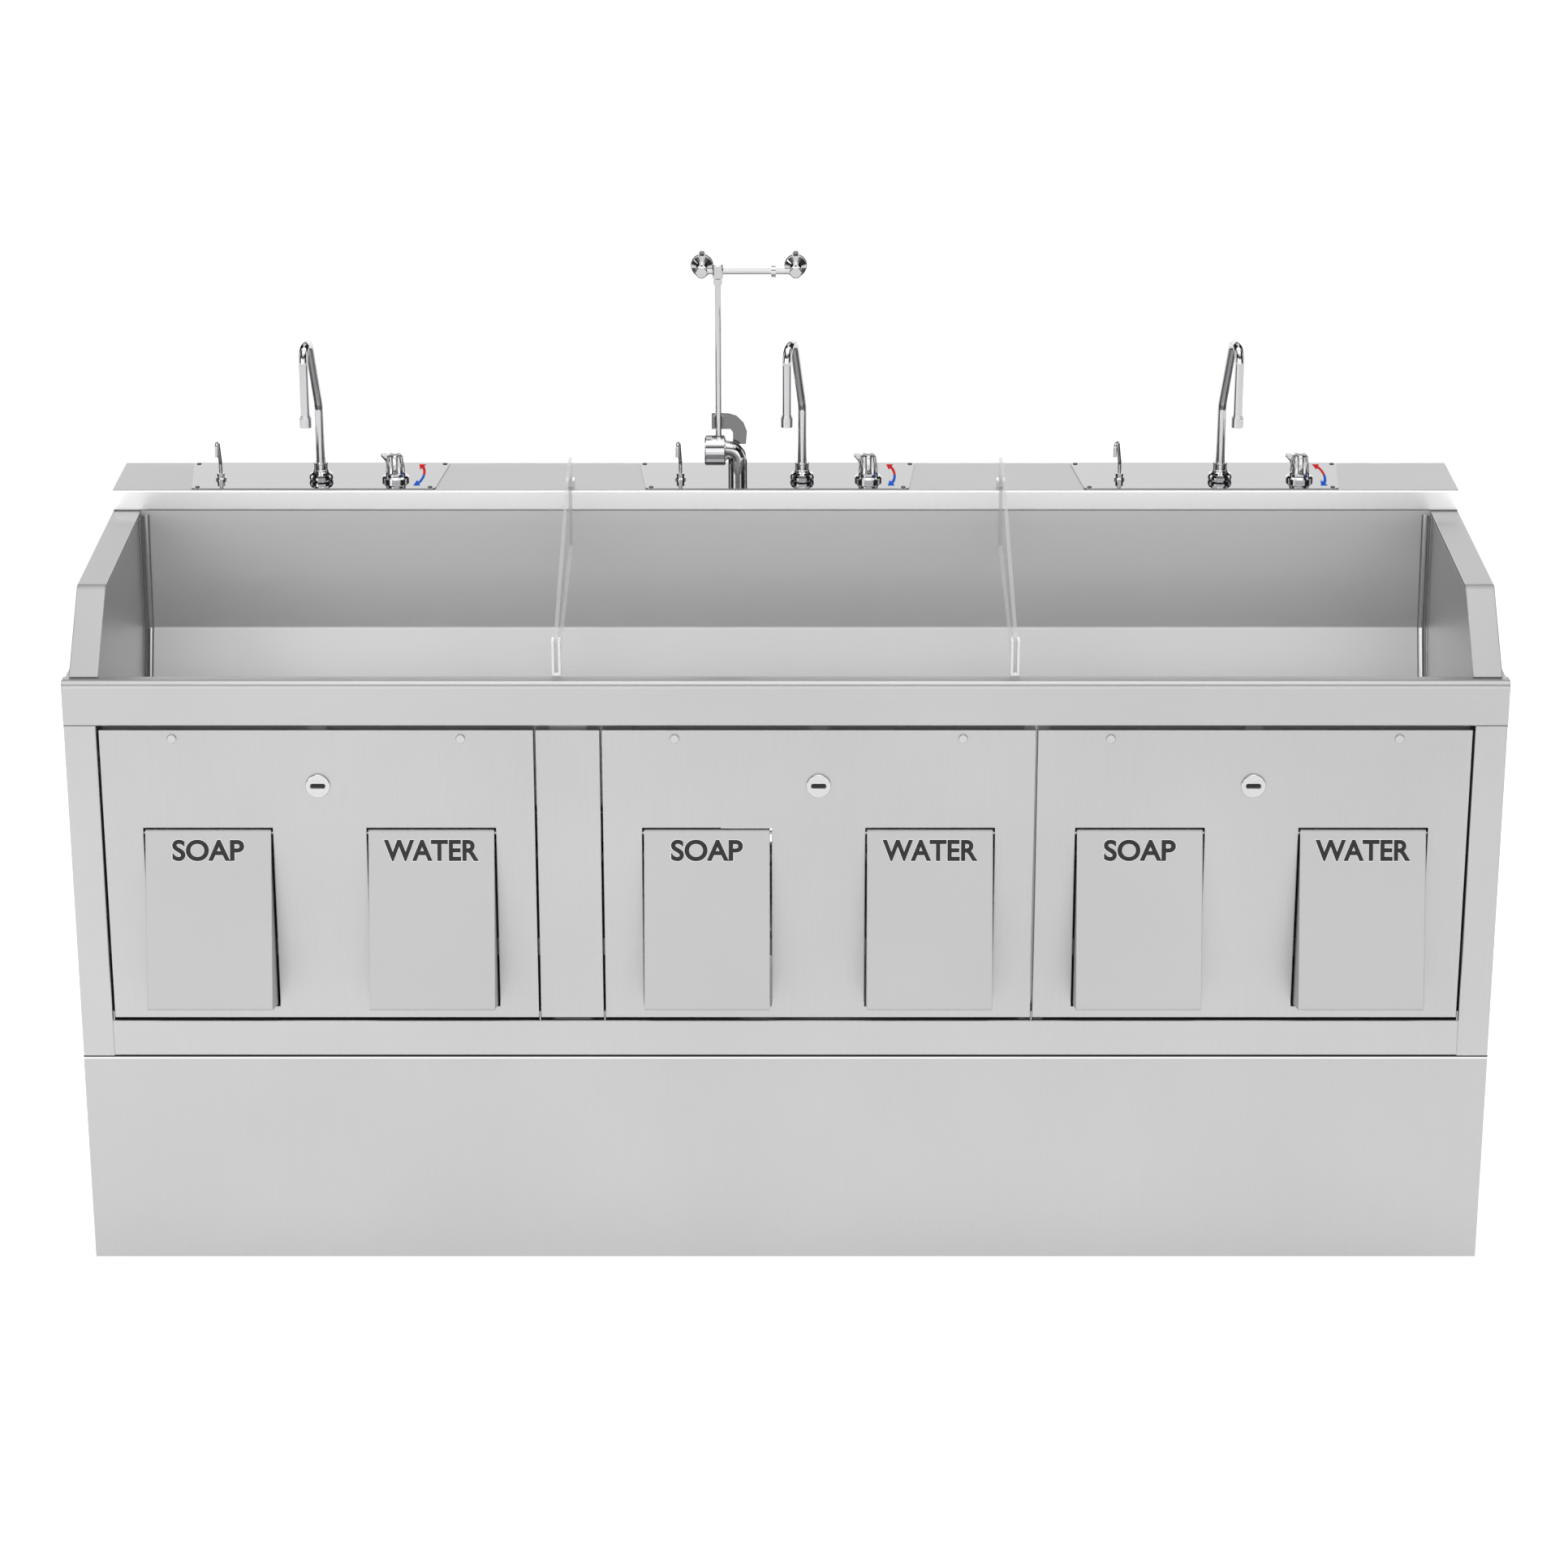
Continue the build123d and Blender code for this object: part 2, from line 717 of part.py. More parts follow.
def make_door_hardware(number):
    """The lock's bush and nut, two round studs, and the two pins that the pedals hang on."""
    middle = door_x[number - 1]
    pieces = []
    with BuildPart() as bush:
        rod(middle, (0, 20), lock_height, lock_stem_radius + 3)
        rod(middle, (sheet, 6), lock_height, lock_stem_radius + 8)
        rod(middle, (-1, 21), lock_height, lock_stem_radius + running_fit, Mode.SUBTRACT)
    pieces.append(bush.part)
    for side in (-1, 1):
        x = middle + side * (door_width / 2 - stud_margin)
        with BuildPart() as stud:
            rod(x, (-3, 0), door_top - stud_drop, 7.5)
            fillet(stud.faces().sort_by(Axis.Y)[0].edges(), 1.2)
        pieces.append(stud.part)
    ear_gap = pedal_width / 2 + pedal_clearance + 1
    for x in (middle - pedal_shift, middle + pedal_shift):
        with BuildPart() as pin:
            cross_rod((x - ear_gap, x + ear_gap), hinge_set_in, hinge_height, hinge_radius)
            for inner in (x - ear_gap - 3, x + ear_gap):
                block((inner, inner + 3), (sheet, 18), (hinge_height - 10, hinge_height + 10))
        pieces.append(pin.part)
    save_group(pieces, f"door_hardware_{number}")


def make_cam_lock(number):
    """A quarter-turn lock: a slotted face, its stem, and the tongue behind the door."""
    x = door_x[number - 1]
    face = -4.0
    with BuildPart() as lock:
        rod(x, (face, -face_clearance), lock_height, lock_radius)
        chamfer(lock.faces().sort_by(Axis.Y)[0].edges(), 1)
        rod(x, (-face_clearance, tongue_depth), lock_height, lock_stem_radius)
        plane = Plane(origin=(x, front_y + face, lock_height), x_dir=(1, 0, 0), z_dir=(0, 1, 0))
        with BuildSketch(plane):
            SlotOverall(25, 9)
        extrude(amount=3, mode=Mode.SUBTRACT)
        plane = Plane(origin=(x, front_y + tongue_depth, lock_height), x_dir=(1, 0, 0), z_dir=(0, 1, 0))
        with BuildSketch(plane):
            with Locations(((tongue_length - 9) / 2, 0)):
                SlotOverall(tongue_length + 9, 16)
        extrude(amount=3)
    save(lock.part, f"cam_lock_{number}")


def make_pedal(x, label):
    """A folded wedge that hangs on its pin, with a tab inside that pushes a plunger."""
    half = pedal_width / 2
    face_top = (0, pedal_top)
    face_foot = (-pedal_reach, pedal_bottom)
    back_foot = (pedal_tuck, pedal_back_bottom)
    back_top = (pedal_tuck, pedal_top)
    with BuildPart() as pedal:
        folded((x - half, x + half), [back_top, face_top, face_foot, back_foot], bend, Side.LEFT)
        for low in (x - half, x + half - sheet):
            with BuildSketch(side_plane(low)):
                with BuildLine():
                    FilletPolyline(back_top, face_top, face_foot, back_foot, radius=bend)
                    Polyline(back_foot, back_top)
                make_face()
                with Locations((hinge_set_in, hinge_height)):
                    Circle(hinge_radius + 4)
                    Circle(hinge_radius + running_fit, mode=Mode.SUBTRACT)
            extrude(amount=sheet)
        tab_root = -(pedal_top - tab_height) * pedal_slope + sheet
        block((x - 15, x + 15), (tab_root - 1, tab_end), (tab_height - 1.5, tab_height + 1.5))
    save(pedal.part, label)


def make_water_valves():
    with BuildPart() as water_valves:
        for x in water_pedal_x:
            block((x - 18, x + 18), (valve_front, valve_back), (valve_rail_top, tab_height + 20))
            bore = (valve_front - 1, valve_back - 4)
            rod(x, bore, tab_height, plunger_radius + running_fit, Mode.SUBTRACT)
            for side in (-11, 11):
                y = front_y + valve_back - 18
                hex_nut(x + side, y, (tab_height + 20, tab_height + 30), 17)
    save(water_valves.part, "water_valves")


def make_soap_pumps():
    with BuildPart() as soap_pumps:
        for x in soap_pedal_x:
            rod(x, (valve_front, valve_back + 8), tab_height, 14)
            block((x - 10, x + 10), (valve_front + 8, valve_back), (valve_rail_top, tab_height - 8))
            rod(x, (valve_front - 1, valve_back), tab_height, plunger_radius + running_fit, Mode.SUBTRACT)
            for depth in (valve_back - 30, valve_back - 2):
                upright(x, front_y + depth, (tab_height + 10, tab_height + 26), 5)
    save(soap_pumps.part, "soap_pumps")


def make_plunger(x, label):
    with BuildPart() as plunger:
        rod(x, (plunger_tip, valve_front + 15), tab_height, plunger_radius)
        fillet(plunger.faces().sort_by(Axis.Y)[0].edges(), 2)
    save(plunger.part, label)


# ---- plumbing behind the doors ----
def make_waste_pipes():
    """Tailpieces from the three drains fall into one sloping header, a trap and the outlet."""
    y = front_y + (front_wall_foot + floor_back) / 2
    start = floor_height - 42
    header = waste_height + 90
    with BuildPart() as waste_pipes:
        reach = bay_x[2] + header_tube + end_cap
        cross_rod((-reach, reach), y - front_y, header, header_tube)
        for x in bay_x:
            upright(x, y, (header, start), waste_radius)
        low = waste_height - trap_drop
        trap = [
            (0, y, header),
            (0, y, low),
            (0, y + 90, low),
            (0, y + 90, waste_height),
            (0, front_y + body_depth, waste_height),
        ]
        pipe(trap, waste_radius, [40, 40, 32])
    save(waste_pipes.part, "waste_pipes")


def up_and_over(start, low, level, end, high):
    """A route that rises from one spot, crosses the cabinet at a level and rises to another."""
    return [(*start, low), (*start, level), (*end, level), (*end, high)]


def make_supply_pipes():
    """Hot and cold headers with their inlets, and the tubes between valves and deck fittings."""
    bottom = plate_top - 62
    pieces = []
    mixed = front_y + valve_back - 18
    under = floor_height - 70
    for height, side in ((hot_height, -1), (cold_height, 1)):
        with BuildPart() as header:
            ends = (knob_x[0] + 12 * side, knob_x[2] + 12 * side)
            cross_rod(ends, fixture_depth, height, header_radius)
            rod(side * inlet_offset, (fixture_depth, inlet_start), height, branch_radius)
            rod(side * inlet_offset, (inlet_start, body_depth), height, header_radius)
            for x in knob_x:
                upright(x + 12 * side, fixture_y, (height, bottom), 6)
        pieces.append(header.part)
    for knob, spout, valve in zip(knob_x, spout_x, water_pedal_x):
        low = tab_height + 30
        with BuildPart() as feed:
            start = (valve + 11, mixed)
            pipe(up_and_over(start, low, under, (knob, fixture_y - 10), bottom), 5, 18)
        pieces.append(feed.part)
        with BuildPart() as outlet:
            start = (valve - 11, mixed)
            pipe(up_and_over(start, low, under + 30, (spout, fixture_y), plate_top - 50), 5, 18)
        pieces.append(outlet.part)
    save_group(pieces, "supply_pipes")


def make_mixing_valves():
    """Each body hangs below the deck: its sleeve comes up through the plate for the knob."""
    with BuildPart() as mixing_valves:
        for x in knob_x:
            bottom = plate_top - 62
            block((x - 28, x + 28), (fixture_depth - 17, fixture_depth + 17), (bottom, bottom + 34))
            upright(x, fixture_y, (bottom + 34, deck_height - sheet), 20)
            upright(x, fixture_y, (deck_height - sheet, plate_top), 15)
            turned(
                x, fixture_y, plate_top,
                [(0, 0), (knob_flange_radius, 0), (knob_flange_radius, 5), (20, 8), (0, 8)],
            )
            upright(x, fixture_y, (plate_top + 8, plate_top + 30), 5)
    save(mixing_valves.part, "mixing_valves")


def make_soap_bottles():
    """Bottles on the cabinet floor, with their suction tubes to the pumps and tubes to the deck."""
    pieces = []
    floor = base_height + sheet
    shoulder = floor + bottle_height
    mouth = shoulder + neck_height
    ports = tab_height + 26
    for x, spout in zip(soap_pedal_x, soap_x):
        bottle_y = front_y + bottle_set_in
        with BuildPart() as bottle:
            with BuildSketch(Plane.XY.offset(floor)):
                with Locations((x, bottle_y)):
                    RectangleRounded(bottle_width, bottle_depth, 14)
            extrude(amount=bottle_height)
            upright(x, bottle_y, (shoulder, mouth), 22)
        pieces.append(bottle.part)
        suction = front_y + valve_back - 2
        outlet = front_y + valve_back - 30
        with BuildPart() as suction_tube:
            crest = ports + 30
            pipe(
                [(x, bottle_y, mouth), (x, bottle_y, crest), (x, suction, crest), (x, suction, ports)],
                3, 12,
            )
        pieces.append(suction_tube.part)
        with BuildPart() as delivery_tube:
            end = (spout, fixture_y)
            pipe(up_and_over((x, outlet), ports, ports + tube_rise, end, plate_top - 40), 3, 12)
        pieces.append(delivery_tube.part)
    save_group(pieces, "soap_bottles")


# ---- deck fittings ----
def make_faucet_bases():
    bulb = [
        (0, 0), (19, 0), (20.3, 3), (20.5, 7), (18.5, 11), (14, 14), (12.5, 16),
        (12.5, 18), (11.5, 19), (11.5, 28), (12.3, 29), (12.3, 31), (0, 31),
    ]
    with BuildPart() as faucet_bases:
        for x in spout_x:
            turned(x, fixture_y, plate_top, bulb)
            upright(x, fixture_y, (plate_top - 50, plate_top), 10)
            hex_nut(x, fixture_y, (deck_height - sheet - 8, deck_height - sheet), 32)
            bore = spout_radius + running_fit
            upright(x, fixture_y, (plate_top + 15, plate_top + 32), bore, Mode.SUBTRACT)
    save(faucet_bases.part, "faucet_bases")


def make_spout(number):
    """A gooseneck: an upright, a lean forwards, a tight turn over and a straight drop."""
    x = spout_x[number - 1]
    turn = radians(spout_turn[number - 1])

    def at(reach, height):
        return (x - reach * sin(turn), fixture_y - reach * cos(turn), plate_top + height)

    route = [
        at(0, 16),
        at(0, spout_kink),
        at(spout_lean, spout_top),
        at(spout_reach, spout_top),
        at(spout_reach, aerator_bottom + aerator_height),
    ]
    with BuildPart() as tube:
        pipe(route, spout_radius, [30, 25, 26], 1.2)
    tip = at(spout_reach, 0)
    with BuildPart() as aerator:
        low = plate_top + aerator_bottom
        upright(tip[0], tip[1], (low, low + aerator_height - 3), aerator_radius)
        upright(tip[0], tip[1], (low + aerator_height - 3, low + aerator_height), aerator_radius - 1.5)
        upright(tip[0], tip[1], (low - 1, low + 6), aerator_radius - 2, Mode.SUBTRACT)
    save_group([tube.part, aerator.part], f"spout_{number}")


def make_soap_spout_bases():
    with BuildPart() as soap_spout_bases:
        for x in soap_x:
            turned(x, fixture_y, plate_top, [(0, 0), (9, 0), (9, 2), (7.5, 4), (0, 4)])
            hex_nut(x, fixture_y, (plate_top + 4, plate_top + 11), 11)
            upright(x, fixture_y, (plate_top - 40, plate_top), 4)
            hex_nut(x, fixture_y, (deck_height - sheet - 6, deck_height - sheet), 16)
            bore = soap_tube_radius + running_fit
            upright(x, fixture_y, (plate_top + 2, plate_top + 12), bore, Mode.SUBTRACT)
    save(soap_spout_bases.part, "soap_spout_bases")


def make_soap_spout(number):
    x = soap_x[number - 1]
    turn = radians(soap_turn[number - 1])

    def at(reach, height):
        return (x - reach * sin(turn), fixture_y - reach * cos(turn), plate_top + height)

    route = [
        at(0, 3),
        at(0, 30),
        at(14, soap_tube_height),
        at(30, soap_tube_height),
        at(32, soap_tube_height - 22),
    ]
    with BuildPart() as spout:
        pipe(route, soap_tube_radius, [20, 7, 7], 0.8)
    save(spout.part, f"soap_spout_{number}")


def make_knob(number):
    """A tapered, fluted knob with a finger lever at its upper left."""
    x = knob_x[number - 1]
    foot = plate_top + 8 + face_clearance
    top = foot + knob_height
    with BuildPart() as knob:
        turned(
            x, fixture_y, foot,
            [(0, 0), (knob_radius, 0), (knob_radius, 3), (knob_radius - 1, 5),
             (knob_radius - 3, knob_height - 3), (knob_radius - 6, knob_height), (0, knob_height)],
        )
        with BuildSketch(Plane.XY.offset(foot + 5)):
            with Locations((x, fixture_y)):
                with PolarLocations(knob_radius + 1.5, 10):
                    Circle(3.5)
        extrude(amount=knob_height, mode=Mode.SUBTRACT)
        lever = Plane(origin=(x, fixture_y - 4, foot), x_dir=(-1, 0, 0), z_dir=(0, 1, 0))
        with BuildSketch(lever):
            with BuildLine():
                Polyline(
                    (0, 12), (knob_radius - 3, 12), (knob_radius + 3, knob_height - 11),
                    (knob_radius + 8, knob_height - 5), (knob_radius + 5, knob_height - 1),
                    (0, knob_height - 1), close=True,
                )
            make_face()
        extrude(amount=8)
        bore = 5 + running_fit
        upright(x, fixture_y, (foot - 1, foot + 23), bore, Mode.SUBTRACT)
    save(knob.part, f"knob_{number}")


# ---- eyewash ----
def make_eyewash_valve():
    """The elbow that feeds the swing arm, its pivot spigot, and the clip that holds the pole."""
    x, y, z = eyewash_x, fixture_y, eyewash_z
    with BuildPart() as elbow:
        corner = eyewash_elbow_radius + 1
        with BuildLine() as route:
            FilletPolyline((x, y, plate_top), (x, y, z), (x - corner - 1, y, z), radius=corner)
        with BuildSketch(Plane.XY.offset(plate_top)):
            with Locations((x, y)):
                Circle(eyewash_elbow_radius)
        sweep()
        cross_rod((valve_right, x - corner - 1), fixture_depth, z, eyewash_elbow_radius + 2)
        cross_rod((valve_right - 26, valve_right), fixture_depth, z, 12)
        upright(x, y, (plate_top - 40, plate_top), 11)
        hex_nut(x, y, (deck_height - sheet - 8, deck_height - sheet), 34)
        back = fixture_depth + pole_radius + 3
        with BuildSketch(Plane(origin=(x, front_y + back, z), x_dir=(-1, 0, 0), z_dir=(0, 1, 0))):
            with BuildLine():
                Polyline((-14, 8), (-16, 30), (-10, 46), (2, 58), (16, 62), (44, 62),
                         (44, 34), (12, 34), (8, 28), (8, 8), close=True)
            make_face()
        extrude(amount=1.5)
        jaw = pole_radius + 1
        for low in (pole_x - jaw - 1.5, pole_x + jaw):
            block((low, low + 1.5), (fixture_depth - pole_radius, back + 1.5), (z + 38, z + 60))
    save(elbow.part, "eyewash_valve")


def make_eyewash_arm():
    """The turning valve barrel, its pole and tee, the cross pipe and the two spray heads."""
    y, z = fixture_y, head_z
    left = valve_right - face_clearance - eyewash_valve_length
    with BuildPart() as barrel:
        barrel_x = (left, valve_right - face_clearance)
        cross_rod(barrel_x, fixture_depth, eyewash_z, eyewash_valve_radius)
        chamfer(barrel.edges().filter_by(GeomType.CIRCLE), 2)
        cross_rod((barrel_x[0] + 6, barrel_x[1] + 1), fixture_depth, eyewash_z, 12 + running_fit, Mode.SUBTRACT)
    with BuildPart() as pole:
        upright(pole_x, y, (eyewash_z + eyewash_valve_radius, z - 22), pole_radius)
        upright(pole_x, y, (z - 22, z - 12), 7.5)
    with BuildPart() as tee:
        upright(pole_x, y, (z - 12, z + 12), 9.5)
        chamfer(tee.edges().filter_by(GeomType.CIRCLE), 1.5)
    pieces = [barrel.part, pole.part, tee.part]
    edge = sqrt(9.5**2 - 5**2)
    reaches = ((head_x[0] + 9, pole_x - edge), (pole_x + edge, head_x[1] - 9))
    for low, high in reaches:
        with BuildPart() as cross_pipe:
            cross_rod((low, high), fixture_depth, z, 5)
            if high - low > 60:
                cross_rod((high - 32, high - 24), fixture_depth, z, 10)
        pieces.append(cross_pipe.part)
    for x in head_x:
        with BuildPart() as head:
            front = fixture_depth - 10
            rod(x, (front, fixture_depth + cup_setback), z, 10)
            chamfer(head.edges().filter_by(GeomType.CIRCLE), 1.5)
            with BuildSketch(side_plane(x)):
                with BuildLine():
                    Polyline(
                        (fixture_depth + cup_setback, z), (fixture_depth + cup_setback, z + 8),
                        (fixture_depth + cup_setback + 6, z + cup_radius),
                        (fixture_depth + cup_setback + 15, z + cup_radius),
                        (fixture_depth + cup_setback + 15, z + cup_radius - 2),
                        (fixture_depth + cup_setback + 8, z + cup_radius - 4),
                        (fixture_depth + cup_setback + 3, z), close=True,
                    )
                make_face()
            revolve(axis=Axis((x, fixture_y, z), (0, 1, 0)))
            hinge_z = z + cup_radius + 3
            hinge = fixture_depth + cup_setback + 12
            for low in (x - 6, x + 4):
                block((low, low + 2), (hinge - 3, hinge + 2.5), (z + cup_radius - 1.5, hinge_z + 3))
            cross_rod((x - 6, x + 6), hinge, hinge_z, 1.5)
        pieces.append(head.part)
    save_group(pieces, "eyewash_arm")


def make_eyewash_cap(x, label):
    """A dust cap that closes a spray head and lifts on its hinge pin."""
    z = head_z
    mouth = fixture_depth + cup_setback + 15 + face_clearance
    hinge = fixture_depth + cup_setback + 12
    hinge_z = z + cup_radius + 3
    with BuildPart() as cap:
        rod(x, (mouth, mouth + 3), z, cup_radius + 1)
        fillet(cap.faces().sort_by(Axis.Y)[-1].edges(), 1)
        cross_rod((x - 3.7, x + 3.7), hinge, hinge_z, 2.6)
        block((x - 3.7, x + 3.7), (hinge, mouth + 2), (hinge_z - 1, hinge_z + 3))
        block((x - 3.7, x + 3.7), (mouth, mouth + 2), (z + cup_radius - 3, hinge_z + 3))
        cross_rod((x - 4, x + 4), hinge, hinge_z, 1.5 + running_fit, Mode.SUBTRACT)
    save(cap.part, label)


def make_doors_and_pedals():
    for number in (1, 2, 3):
        make_access_door(number)
        make_door_hardware(number)
        make_cam_lock(number)
        make_pedal(soap_pedal_x[number - 1], f"soap_pedal_{number}")
        make_pedal(water_pedal_x[number - 1], f"water_pedal_{number}")
        make_plunger(soap_pedal_x[number - 1], f"soap_plunger_{number}")
        make_plunger(water_pedal_x[number - 1], f"water_plunger_{number}")


def make_deck_fittings():
    make_faucet_bases()
    make_soap_spout_bases()
    make_mixing_valves()
    for number in (1, 2, 3):
        make_spout(number)
        make_soap_spout(number)
        make_knob(number)
    make_eyewash_valve()
    make_eyewash_arm()
    make_eyewash_cap(head_x[0], "eyewash_cap_left")
    make_eyewash_cap(head_x[1], "eyewash_cap_right")


os.makedirs("parts", exist_ok=True)
make_basin()
make_front_apron()
make_side_splashes()
make_rear_deck()
make_deck_plates()
make_deck_screws()
make_dividers()
make_divider_clips()
make_drain_strainers()
make_front_frame()
make_side_panels()
make_back_panel()
make_base_panels()
make_cabinet_floor()
make_base_legs()
make_levelling_feet()
make_filler_panel()
make_door_pivots()
make_doors_and_pedals()
make_water_valves()
make_soap_pumps()
make_waste_pipes()
make_supply_pipes()
make_soap_bottles()
make_deck_fittings()
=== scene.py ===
import math

import bpy
from mathutils import Matrix, Vector


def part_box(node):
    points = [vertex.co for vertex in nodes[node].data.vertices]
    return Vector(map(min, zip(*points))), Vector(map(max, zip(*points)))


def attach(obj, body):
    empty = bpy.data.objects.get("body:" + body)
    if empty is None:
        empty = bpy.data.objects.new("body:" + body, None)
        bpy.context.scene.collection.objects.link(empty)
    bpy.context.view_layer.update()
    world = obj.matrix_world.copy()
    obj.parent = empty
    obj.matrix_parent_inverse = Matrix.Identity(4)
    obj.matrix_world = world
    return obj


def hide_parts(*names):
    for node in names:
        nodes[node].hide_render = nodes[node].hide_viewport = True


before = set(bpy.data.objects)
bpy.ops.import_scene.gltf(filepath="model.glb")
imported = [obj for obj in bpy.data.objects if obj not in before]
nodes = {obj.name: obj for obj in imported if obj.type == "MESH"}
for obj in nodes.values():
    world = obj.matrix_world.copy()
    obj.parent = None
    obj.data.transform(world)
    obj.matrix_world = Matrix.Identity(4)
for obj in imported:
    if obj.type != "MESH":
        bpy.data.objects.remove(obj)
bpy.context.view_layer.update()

# ---------------------------------------------------------------- viewpoint, floor and light
# The sink is seen from straight in front and well above, through a long lens. It stands on a
# pale, faintly lit floor in a pale studio, whose dark slots give the chrome its dark lines.
lens_length = 98.06
sensor_width = 36.0
view_pitch = math.radians(20.408)
eye = Vector((-0.0026, -6.6806, 3.2036))

camera_data = bpy.data.cameras.new("front_view")
camera_data.lens = lens_length
camera_data.sensor_width = sensor_width
camera_data.dof.use_dof = False
camera = bpy.data.objects.new("front_view", camera_data)
bpy.context.collection.objects.link(camera)
camera.location = eye
camera.rotation_euler = (math.pi / 2 - view_pitch, 0, 0)
bpy.context.scene.camera = camera
bpy.context.scene.view_settings.view_transform = "Standard"


def soft_light(name, place, target, size, power):
    """A large rectangular lamp that faces its target."""
    data = bpy.data.lights.new(name, "AREA")
    data.shape = "RECTANGLE"
    data.size, data.size_y = size
    data.energy = power
    lamp = bpy.data.objects.new(name, data)
    bpy.context.collection.objects.link(lamp)
    lamp.location = place
    aim = Vector(target) - Vector(place)
    lamp.rotation_euler = aim.to_track_quat("-Z", "Y").to_euler()


overhead_power = 52
left_power = 30
soft_light("overhead_light", (0, -0.4, 4.4), (0, 0.1, 0.9), (4.5, 2.4), overhead_power)
soft_light("left_light", (-3.6, -3.4, 2.4), (0, 0, 0.8), (1.6, 2.4), left_power)


def add_node(tree, kind, **settings):
    """A new node of a kind, with its plain settings."""
    node = tree.nodes.new(kind)
    for setting, value in settings.items():
        setattr(node, setting, value)
    return node


def stepped(tree, stops):
    """A ramp of grey steps, from (place, brightness) pairs."""
    ramp = add_node(tree, "ShaderNodeValToRGB")
    while len(ramp.color_ramp.elements) < len(stops):
        ramp.color_ramp.elements.new(0.5)
    for element, (place, brightness) in zip(ramp.color_ramp.elements, stops):
        element.position = place
        element.color = (brightness, brightness, brightness, 1)
    return ramp


# Each stop is a place and a brightness: round the room from behind the sink to its front, and
# up the room from the horizon to straight overhead.
room_round = [
    (0, 0.86), (0.16, 0.86), (0.19, 0.03), (0.36, 0.03), (0.39, 0.9),
    (0.48, 0.9), (0.51, 0.03), (0.74, 0.03), (0.78, 1.0), (1, 1.0),
]
room_up = [(0, 0.95), (0.42, 0.95), (0.47, 0.12), (0.66, 0.12), (0.72, 0.64), (1, 0.64)]
room_strength = 1.85
backdrop_white = (0.8, 0.8, 0.8, 1)
room = bpy.data.worlds.new("studio")
room.use_nodes = True
walls = room.node_tree
direction = add_node(walls, "ShaderNodeTexCoord")
split = add_node(walls, "ShaderNodeSeparateXYZ")
walls.links.new(direction.outputs["Generated"], split.inputs["Vector"])
around = add_node(walls, "ShaderNodeMath", operation="ARCTAN2")
walls.links.new(split.outputs["X"], around.inputs[0])
walls.links.new(split.outputs["Y"], around.inputs[1])
either_side = add_node(walls, "ShaderNodeMath", operation="ABSOLUTE")
walls.links.new(around.outputs["Value"], either_side.inputs[0])
half_turn = add_node(walls, "ShaderNodeMath", operation="DIVIDE")
half_turn.inputs[1].default_value = math.pi
walls.links.new(either_side.outputs["Value"], half_turn.inputs[0])
slots_around = stepped(walls, room_round)
walls.links.new(half_turn.outputs["Value"], slots_around.inputs["Fac"])
slots_above = stepped(walls, room_up)
walls.links.new(split.outputs["Z"], slots_above.inputs["Fac"])
lit_walls = add_node(walls, "ShaderNodeMix", data_type="RGBA", blend_type="MULTIPLY")
lit_walls.inputs["Factor"].default_value = 1.0
walls.links.new(slots_around.outputs["Color"], lit_walls.inputs[6])
walls.links.new(slots_above.outputs["Color"], lit_walls.inputs[7])
backdrop = add_node(walls, "ShaderNodeMix", data_type="RGBA")
backdrop.inputs[7].default_value = backdrop_white
seen_directly = add_node(walls, "ShaderNodeLightPath")
walls.links.new(seen_directly.outputs["Is Camera Ray"], backdrop.inputs["Factor"])
walls.links.new(lit_walls.outputs[2], backdrop.inputs[6])
walls.links.new(backdrop.outputs[2], walls.nodes["Background"].inputs["Color"])
walls.nodes["Background"].inputs["Strength"].default_value = room_strength
bpy.context.scene.world = room

floor_size = 60.0
floor_grey = (0.95, 0.95, 0.95, 1)
floor_glow = 0.66
bpy.ops.object.select_all(action="DESELECT")
bpy.ops.mesh.primitive_plane_add(size=floor_size, location=(0, 0, 0))
floor = bpy.context.object
floor.name = "studio_floor"
floor_finish = bpy.data.materials.new("studio_floor")
floor_finish.use_nodes = True
floor_shader = floor_finish.node_tree.nodes["Principled BSDF"]
floor_shader.inputs["Base Color"].default_value = floor_grey
floor_shader.inputs["Roughness"].default_value = 0.9
floor_shader.inputs["Emission Color"].default_value = (1, 1, 1, 1)
floor_shader.inputs["Emission Strength"].default_value = floor_glow
floor.data.materials.append(floor_finish)
